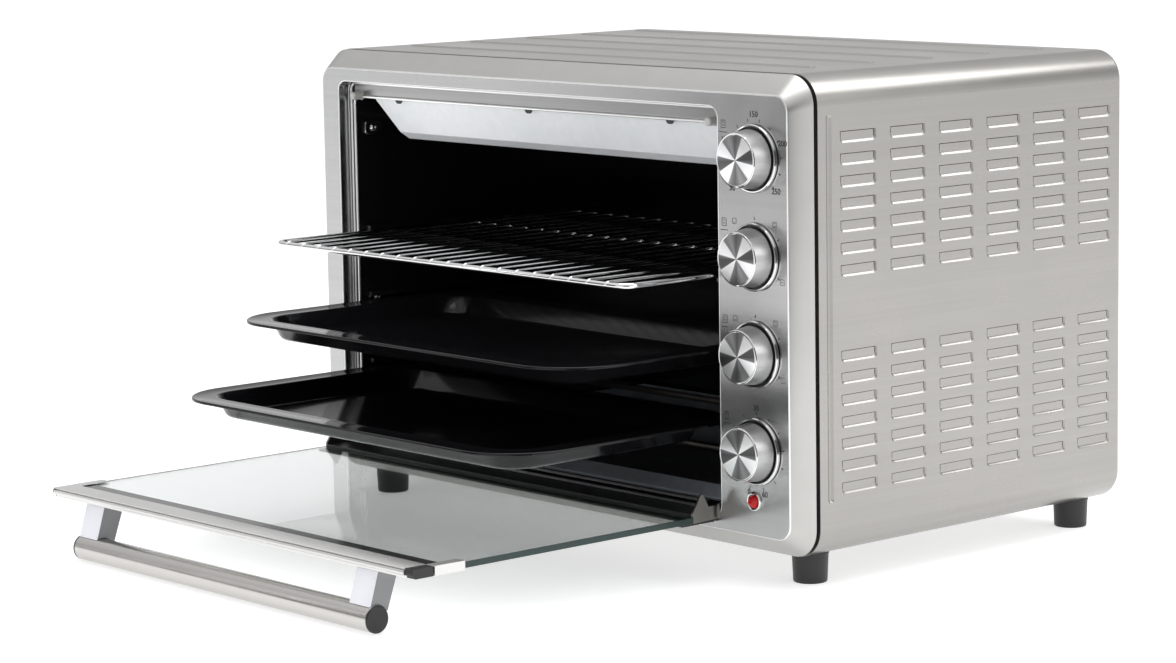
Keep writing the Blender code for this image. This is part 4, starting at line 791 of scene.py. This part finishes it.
# ---- Reflector, crumb tray and heating rods ----
# The reflector under the ceiling and the crumb tray on the floor are galvanised sheet; the four
# heating rods are steel tubes gone dull with heat.
SPANGLE, nodes, links, given, result = mask_group(
    "zinc_spangle", (("Coordinate", "Vector"),), (("Mask", "Float"), ("Cloud", "Float")))
crystals = nodes.new("ShaderNodeTexVoronoi")
crystals.inputs["Scale"].default_value = 160
links.new(given.outputs["Coordinate"], crystals.inputs["Vector"])
cloud = noise_into(nodes, links, given.outputs["Coordinate"], 12, 2)
blend = nodes.new("ShaderNodeMix")
blend.inputs["Factor"].default_value = 0.3
links.new(cloud.outputs["Fac"], blend.inputs["A"])
links.new(crystals.outputs["Color"], blend.inputs["B"])
links.new(blend.outputs["Result"], result.inputs["Mask"])
links.new(cloud.outputs["Fac"], result.inputs["Cloud"])


def sheet_metal(name, dark, light, roughness, metallic=0.85):
    """Galvanised sheet: pale zinc spangle with a cloudy sheen."""
    made, nodes, links, _ = blank_material(name, {"Metallic": metallic})
    spangle = masks_from(nodes, links, SPANGLE)
    tint(nodes, links, spangle.outputs["Mask"], dark, light)
    roughen(nodes, links, spangle.outputs["Cloud"], roughness - 0.05, roughness + 0.07)
    return made


REFLECTOR_SHEET = sheet_metal("reflector_sheet", (0.82, 0.86, 0.88), (0.97, 0.98, 0.99), 0.45, 0.35)
ZINC_SHEET = sheet_metal("zinc_sheet", (0.34, 0.37, 0.41), (0.54, 0.58, 0.62), 0.36, 0.5)
HEATED_STEEL = plain_finish("heated_steel", (0.20, 0.18, 0.165), 0.42, metallic=1.0, speckle=0.06)
finish_of = {"top_reflector": REFLECTOR_SHEET, "crumb_tray": ZINC_SHEET, "heat_shield": ZINC_SHEET,
             "fan_housing": ZINC_SHEET, "fan_rotor": ZINC_SHEET}
finish_of.update({f"{level}_heater_{end}": HEATED_STEEL for level in ("lower", "upper")
                  for end in ("front", "rear")})
finish_of.update({f"{control}_body": ZINC_SHEET for control in control_names})
finish_of.update({f"{control}_shaft": EDGE_METAL for control in control_names})
coat_nodes(finish_of)

# ---- Baking trays ----
# Two pressed steel pans in black gloss enamel, with a wide flat rim, a rolled outer edge and a
# sloping wall down to the pan.
TRAY_ENAMEL = enamel("tray_enamel", 0.14, coat=0.0, shine=0.32)
for level in ("lower", "upper"):
    tray_low, tray_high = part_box(level + "_baking_tray")
    bm = bmesh.new()
    curl = 2.2 * MM
    tray = rounded_face(bm, "Z", tray_high.z - curl, (tray_low.x, tray_low.y), (tray_high.x, tray_high.y),
                        55 * MM, 16)
    deep = tray_high.z - tray_low.z - 1.0 * MM
    press(bm, tray, (0, 0, 1), (
        (0.0, curl - 0.9 * MM), (0.25 * MM, 0.6 * MM), (0.7 * MM, 0.3 * MM), (0.9 * MM, -0.35 * MM),
        (17.8 * MM, 0.0), (1.2 * MM, 0.0), (1.0 * MM, -0.6 * MM), (6.2 * MM, -deep + 4.2 * MM),
        (1.6 * MM, -2.0 * MM), (2.6 * MM, -1.25 * MM)))
    bmesh.ops.reverse_faces(bm, faces=[f for f in bm.faces if f.normal.z < -0.2])
    tray = new_piece(level + "_tray_pan", bm, TRAY_ENAMEL, crease=50)
    wall = tray.modifiers.new("sheet_thickness", "SOLIDIFY")
    wall.thickness, wall.offset = 0.9 * MM, -1
    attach(tray, level + "_tray")
    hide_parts(level + "_baking_tray")

# ---- Wire rack ----
# Chromed wires welded across a bent frame wire and one cross wire; the front ends hook down over
# the frame.
rack_low, rack_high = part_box("wire_rack")
frame_wire, rack_wire = 2.5 * MM, 1.5 * MM
bm = bmesh.new()
left, right = rack_low.x + frame_wire, rack_high.x - frame_wire
near, far = rack_low.y + frame_wire, rack_high.y - frame_wire
level_z = rack_low.z + frame_wire
bend = 12 * MM
half_run, side_run, back_run = (right - left) / 2 - bend, far - near - 2 * bend, right - left - 2 * bend
legs = [half_run]
for x, y, run in ((right - bend, near + bend, side_run), (right - bend, far - bend, back_run),
                  (left + bend, far - bend, side_run), (left + bend, near + bend, half_run)):
    legs += [((x, y, level_z), (0, 0, 1), 90, 6), run]
bent_wire(bm, frame_wire, ((left + right) / 2, near, level_z), (1, 0, 0), legs, 12)
cross_y = near + (far - near) * 0.64
bent_wire(bm, rack_wire * 1.2, (left, cross_y, level_z), (1, 0, 0), [right - left], 10)
wire_count = 20
wire_z = rack_high.z - rack_wire
for index in range(wire_count):
    x = (left + right) / 2 + (index - (wire_count - 1) / 2) * 21.5 * MM
    hook = frame_wire + rack_wire * 0.7
    legs = [far - near - 1.5 * MM, ((x, near + 1.5 * MM, wire_z - hook), (1, 0, 0), 66, 5)]
    bent_wire(bm, rack_wire, (x, far, wire_z), (0, -1, 0), legs, 8)
rack = new_piece("chromed_rack", bm, CHROME, crease=50)
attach(rack, "rack")
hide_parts("wire_rack")

# ---- Door glass ----
# One clear tempered pane with ground edges that look dark green, in a black printed border along
# the top rail.
GLASS, nodes, links, glass_shader = blank_material("clear_door_glass", {
    "Base Color": (0.93, 0.965, 0.955, 1), "Transmission Weight": 1.0, "IOR": 1.5})
glass_place = nodes.new("ShaderNodeTexCoord")
glass_smear = noise_into(nodes, links, glass_place.outputs["Object"], 7, 2)
roughen(nodes, links, glass_smear.outputs["Fac"], 0.0, 0.02)
glass_clear, glass_mix = nodes.new("ShaderNodeBsdfTransparent"), nodes.new("ShaderNodeMixShader")
glass_clear.inputs["Color"].default_value = (0.86, 0.90, 0.89, 1)
glass_ray = nodes.new("ShaderNodeLightPath")
links.new(glass_ray.outputs["Is Shadow Ray"], glass_mix.inputs["Fac"])
links.new(glass_shader.outputs[0], glass_mix.inputs[1])
links.new(glass_clear.outputs[0], glass_mix.inputs[2])
links.new(glass_mix.outputs[0], nodes["Material Output"].inputs["Surface"])
GLASS_EDGE = plain_finish("ground_glass_edge", (0.008, 0.028, 0.025), 0.30, speckle=0.05)
glass_low, glass_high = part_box("door_glass")
bm = bmesh.new()
size, middle = glass_high - glass_low, (glass_low + glass_high) / 2
bmesh.ops.create_cube(bm, size=1, matrix=Matrix.Translation(middle) @ Matrix.Diagonal((*size, 1)))
round_edges(bm, bm.edges, 0.5 * MM, 2)
bm.normal_update()
for pane_face in bm.faces:
    pane_face.material_index = 0 if abs(pane_face.normal.z) > 0.99 else 1
pane = new_piece("door_pane", bm, [GLASS, GLASS_EDGE], crease=20, flats=True)
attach(pane, "door")
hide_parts("door_glass")

# ---- Door rails, clips, handle and hinges ----
# The top rail is a bent stainless channel over the pane's edge with the handle bolted through it.
# The bottom rail is black; bright clips hold the pane's corners, and steel arms carry the hinges.
def softened(node, width, segments=2, crease=25):
    """A copy of a CAD node's mesh, merged, with its sharp edges rounded."""
    bm = bmesh.new()
    bm.from_mesh(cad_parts[node].data)
    bmesh.ops.remove_doubles(bm, verts=bm.verts[:], dist=1e-6)
    bmesh.ops.dissolve_limit(bm, angle_limit=math.radians(1), verts=bm.verts[:], edges=bm.edges[:])
    sharp = [e for e in bm.edges if len(e.link_faces) == 2
             and e.calc_face_angle(0) > math.radians(crease)]
    round_edges(bm, sharp, width, segments, clamp=True)
    return bm


RAIL_STEEL = brushed_metal("rail_steel", (0.66, 0.655, 0.645), (0.78, 0.775, 0.76), 0.38, (3, 260, 260))
ARM_FRONT = plain_finish("anodised_arm", (0.84, 0.85, 0.89), 0.5, metallic=0.25, speckle=0.02)
# The arms' side faces take a darker copy of the arm finish: painted shade.
ARM_SIDE_PAINTED_SHADE = plain_finish("arm_side_painted_shade", (0.26, 0.26, 0.27), 0.5, metallic=0.25, speckle=0.03)
HINGE_STEEL = brushed_metal("hinge_steel", (0.13, 0.125, 0.115), (0.30, 0.29, 0.27), 0.30, (90, 90, 14))
TUBE_STEEL = brushed_metal("tube_steel", (0.50, 0.485, 0.465), (0.64, 0.625, 0.60), 0.22, (3, 300, 300))
BLACK_PLASTIC = plain_finish("black_plastic_moulding", (0.014, 0.014, 0.015), 0.42, speckle=0.05)
door_finishes = {
    "door_bottom_rail": (BLACK_PAINT_AND_SHADE, 0.4 * MM, "black_painted_steel"),
    "hinge_arm_left": (HINGE_STEEL, 0.4 * MM, "chrome"),
    "hinge_arm_right": (HINGE_STEEL, 0.4 * MM, "chrome"),
    "glass_clip_left": (RAIL_STEEL, 0.3 * MM, "brushed_steel"),
    "glass_clip_right": (RAIL_STEEL, 0.3 * MM, "brushed_steel"),
    "handle_arm_left": ([ARM_FRONT, ARM_SIDE_PAINTED_SHADE], 0.8 * MM, "brushed_steel"),
    "handle_arm_right": ([ARM_FRONT, ARM_SIDE_PAINTED_SHADE], 0.8 * MM, "brushed_steel"),
}
for node, (finish, width, slot_name) in door_finishes.items():
    bm = softened(node, width)
    # Side faces of the handle arms get the darker copy: painted shade.
    for arm_face in bm.faces:
        arm_face.material_index = int(node.startswith("handle_arm") and abs(arm_face.normal.x) > 0.7)
    piece = new_piece(node + "_finished", bm, finish, crease=35, flats=True)
    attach(piece, "door")
    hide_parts(node)

tube_low, tube_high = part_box("handle_tube")
tube_middle = (tube_low + tube_high) / 2
tube_radius, tube_half = (tube_high.z - tube_low.z) / 2, (tube_high.x - tube_low.x) / 2
bm = bmesh.new()
tube_profile = [(tube_radius - 1.4 * MM, -tube_half), (tube_radius - 0.4 * MM, -tube_half),
                (tube_radius, -tube_half + 0.4 * MM), (tube_radius, tube_half - 0.4 * MM),
                (tube_radius - 0.4 * MM, tube_half), (tube_radius - 1.4 * MM, tube_half)]
spun(bm, tube_profile, tube_middle, (1, 0, 0), 64)
tube = new_piece("handle_bar", bm, TUBE_STEEL, crease=40)
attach(tube, "door")
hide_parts("handle_tube")
for side_name, outward in (("left", -1), ("right", 1)):
    bm = bmesh.new()
    cap_profile = [(tube_radius, 0.3 * MM), (tube_radius, 1.3 * MM), (tube_radius - 0.7 * MM, 2.0 * MM),
                   (tube_radius * 0.5, 2.2 * MM), (0, 2.3 * MM)]
    spun(bm, cap_profile, tube_middle + Vector((outward * tube_half, 0, 0)), (outward, 0, 0), 48)
    cap = new_piece(f"handle_end_{side_name}", bm, BLACK_PLASTIC, crease=40)
    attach(cap, "door")
    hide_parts(f"handle_cap_{side_name}")

border_low_y = glass_low.y + 15.5 * MM
bm = bmesh.new()
border = rounded_face(bm, "Z", glass_high.z + 0.08 * MM, (glass_low.x + 0.6 * MM, border_low_y),
                      (glass_high.x - 0.6 * MM, border_low_y + 15 * MM), 0.5 * MM, 2)
PRINTED_BLACK = enamel("printed_black_border", 0.10)
border = new_piece("printed_border", bm, PRINTED_BLACK)
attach(border, "door")

# ---- Top rail of the door ----
# A bent channel grips the pane: a flat plate above, a dark groove, a rounded bead along the front
# and a recessed lower lip. Black plugs close its ends over the ground edge of the glass.
rail_low, rail_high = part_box("door_top_rail")
rail_profile = ((21, -1.42), (21, -0.4), (20.6, 0), (1.7, 0), (1.2, -0.3), (1.1, -0.85), (2.7, -0.95),
                (2.7, -1.75), (0.9, -1.85), (0.25, -2.5), (0, -3.6), (0.2, -4.7), (0.9, -5.6),
                (3.0, -5.9), (3.2, -7.9), (3.6, -8), (20.6, -8), (21, -7.6), (21, -6.58), (4.6, -6.58),
                (4.6, -1.42))
plug_profile = ((20.4, -1.42), (20.4, -0.3), (2.2, -0.3), (0.7, -2.4), (0.7, -5), (3.4, -6.2), (3.6, -7.7),
                (20.4, -7.7), (20.4, -6.58), (4.6, -6.58), (4.6, -1.42))
cap_outline = plug_profile[:8]
plug_long = 9 * MM
for name, profile, start, end, finish in (
        ("door_rail_channel", rail_profile, rail_low.x + 1.0 * MM, rail_high.x - plug_long, RAIL_STEEL),
        ("door_rail_plug_left", plug_profile, rail_low.x, rail_low.x + 1.2 * MM, BLACK_PLASTIC),
        ("door_rail_cap_left", cap_outline, rail_low.x - 0.6 * MM, rail_low.x - 0.05 * MM, BLACK_PLASTIC),
        ("door_rail_cap_right", cap_outline, rail_high.x + 0.05 * MM, rail_high.x + 0.6 * MM, BLACK_PLASTIC),
        ("door_rail_plug_right", plug_profile, rail_high.x - plug_long - 0.2 * MM, rail_high.x,
         BLACK_PLASTIC)):
    bm = bmesh.new()
    end_face = bm.faces.new([bm.verts.new((start, rail_low.y + y * MM, rail_high.z + z * MM))
                             for y, z in profile])
    drawn = bmesh.ops.extrude_face_region(bm, geom=[end_face], use_keep_orig=True)
    bmesh.ops.translate(bm, vec=(end - start, 0, 0),
                        verts=[g for g in drawn["geom"] if isinstance(g, bmesh.types.BMVert)])
    bmesh.ops.recalc_face_normals(bm, faces=bm.faces[:])
    rail_piece = new_piece(name, bm, finish, crease=42)
    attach(rail_piece, "door")
    if name == "door_rail_channel":
        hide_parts("door_top_rail")
bm = bmesh.new()
for x in (rail_low.x + 46 * MM, rail_high.x - 46 * MM):
    screw(bm, (x, rail_low.y + 13 * MM, rail_high.z - 0.9 * MM), (0, 0, 1), 2.0 * MM)
door_screws = new_piece("door_screws", bm, CHROME)
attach(door_screws, "door")

# ---- Small fixed parts ----
# White silicone bumpers, hinge plates and pins, black feet, the cable gland, the back panel with its
# screws and the base pan.
SILICONE = plain_finish("white_silicone_rubber", (0.50, 0.50, 0.48), 0.55, speckle=0.03)
CERAMIC = plain_finish("steatite_ceramic", (0.80, 0.78, 0.72), 0.45, speckle=0.03)
BACK_STEEL = sheet_metal("back_sheet", (0.42, 0.42, 0.41), (0.54, 0.54, 0.53), 0.40)
for side_name in ("left", "right"):
    stud_low, stud_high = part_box(f"door_bumper_{side_name}")
    middle, deep = (stud_low + stud_high) / 2, (stud_high.y - stud_low.y) / MM
    bm = bmesh.new()
    stud_profile = [(0, 0), (1.6, 0.1), (2.9, 0.7), (3.5, 1.7), (3.6, deep - 0.8), (4.1, deep - 0.5),
                    (4.1, deep)]
    spun(bm, [(r * MM, a * MM) for r, a in stud_profile], (middle.x, stud_low.y, middle.z), (0, 1, 0), 32)
    bumper = new_piece(f"bumper_pad_{side_name}", bm, SILICONE)
    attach(bumper, "oven_body")
    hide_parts(f"door_bumper_{side_name}")
    for end_name in ("front", "rear"):
        node = f"foot_{end_name}_{side_name}"
        foot_low, foot_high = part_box(node)
        middle = (foot_low + foot_high) / 2
        top_radius, tall = (foot_high.x - foot_low.x) / 2, foot_high.z - foot_low.z
        bm = bmesh.new()
        foot_profile = [(0, 0.4 * MM), (8.5 * MM, 0.4 * MM), (9 * MM, 0), (12.6 * MM, 0),
                        (13.4 * MM, 0.5 * MM), (13.6 * MM, 1.4 * MM),
                        (top_radius - 0.5 * MM, tall - 2.5 * MM), (top_radius, tall - 2.2 * MM),
                        (top_radius, tall - 0.4 * MM), (top_radius - 0.5 * MM, tall), (0, tall)]
        spun(bm, foot_profile, (middle.x, middle.y, foot_low.z), (0, 0, 1), 48)
        foot = new_piece(f"foot_moulding_{end_name}_{side_name}", bm, BLACK_PLASTIC, crease=40)
        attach(foot, "oven_body")
        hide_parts(node)
fixed_finishes = {"hinge_plate_left": HINGE_STEEL, "hinge_plate_right": HINGE_STEEL,
                  "hinge_pin_left": EDGE_METAL, "hinge_pin_right": EDGE_METAL,
                  "cord_gland": BLACK_PLASTIC, "back_panel": BACK_STEEL, "base_pan": BACK_STEEL,
                  "pilot_lamp": CERAMIC, "terminal_block": CERAMIC, "fan_motor": BLACK_PAINT_AND_SHADE}
coat_nodes(fixed_finishes)
back_low, back_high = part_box("back_panel")
bm = bmesh.new()
for x in (-0.92, -0.31, 0.31, 0.92):
    for z in (0.06, 0.94):
        place = (back_high.x * x, back_high.y, back_low.z + (back_high.z - back_low.z) * z)
        screw(bm, place, (0, 1, 0), 3.2 * MM)
back_screws = new_piece("back_screws", bm, CHROME)
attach(back_screws, "oven_body")
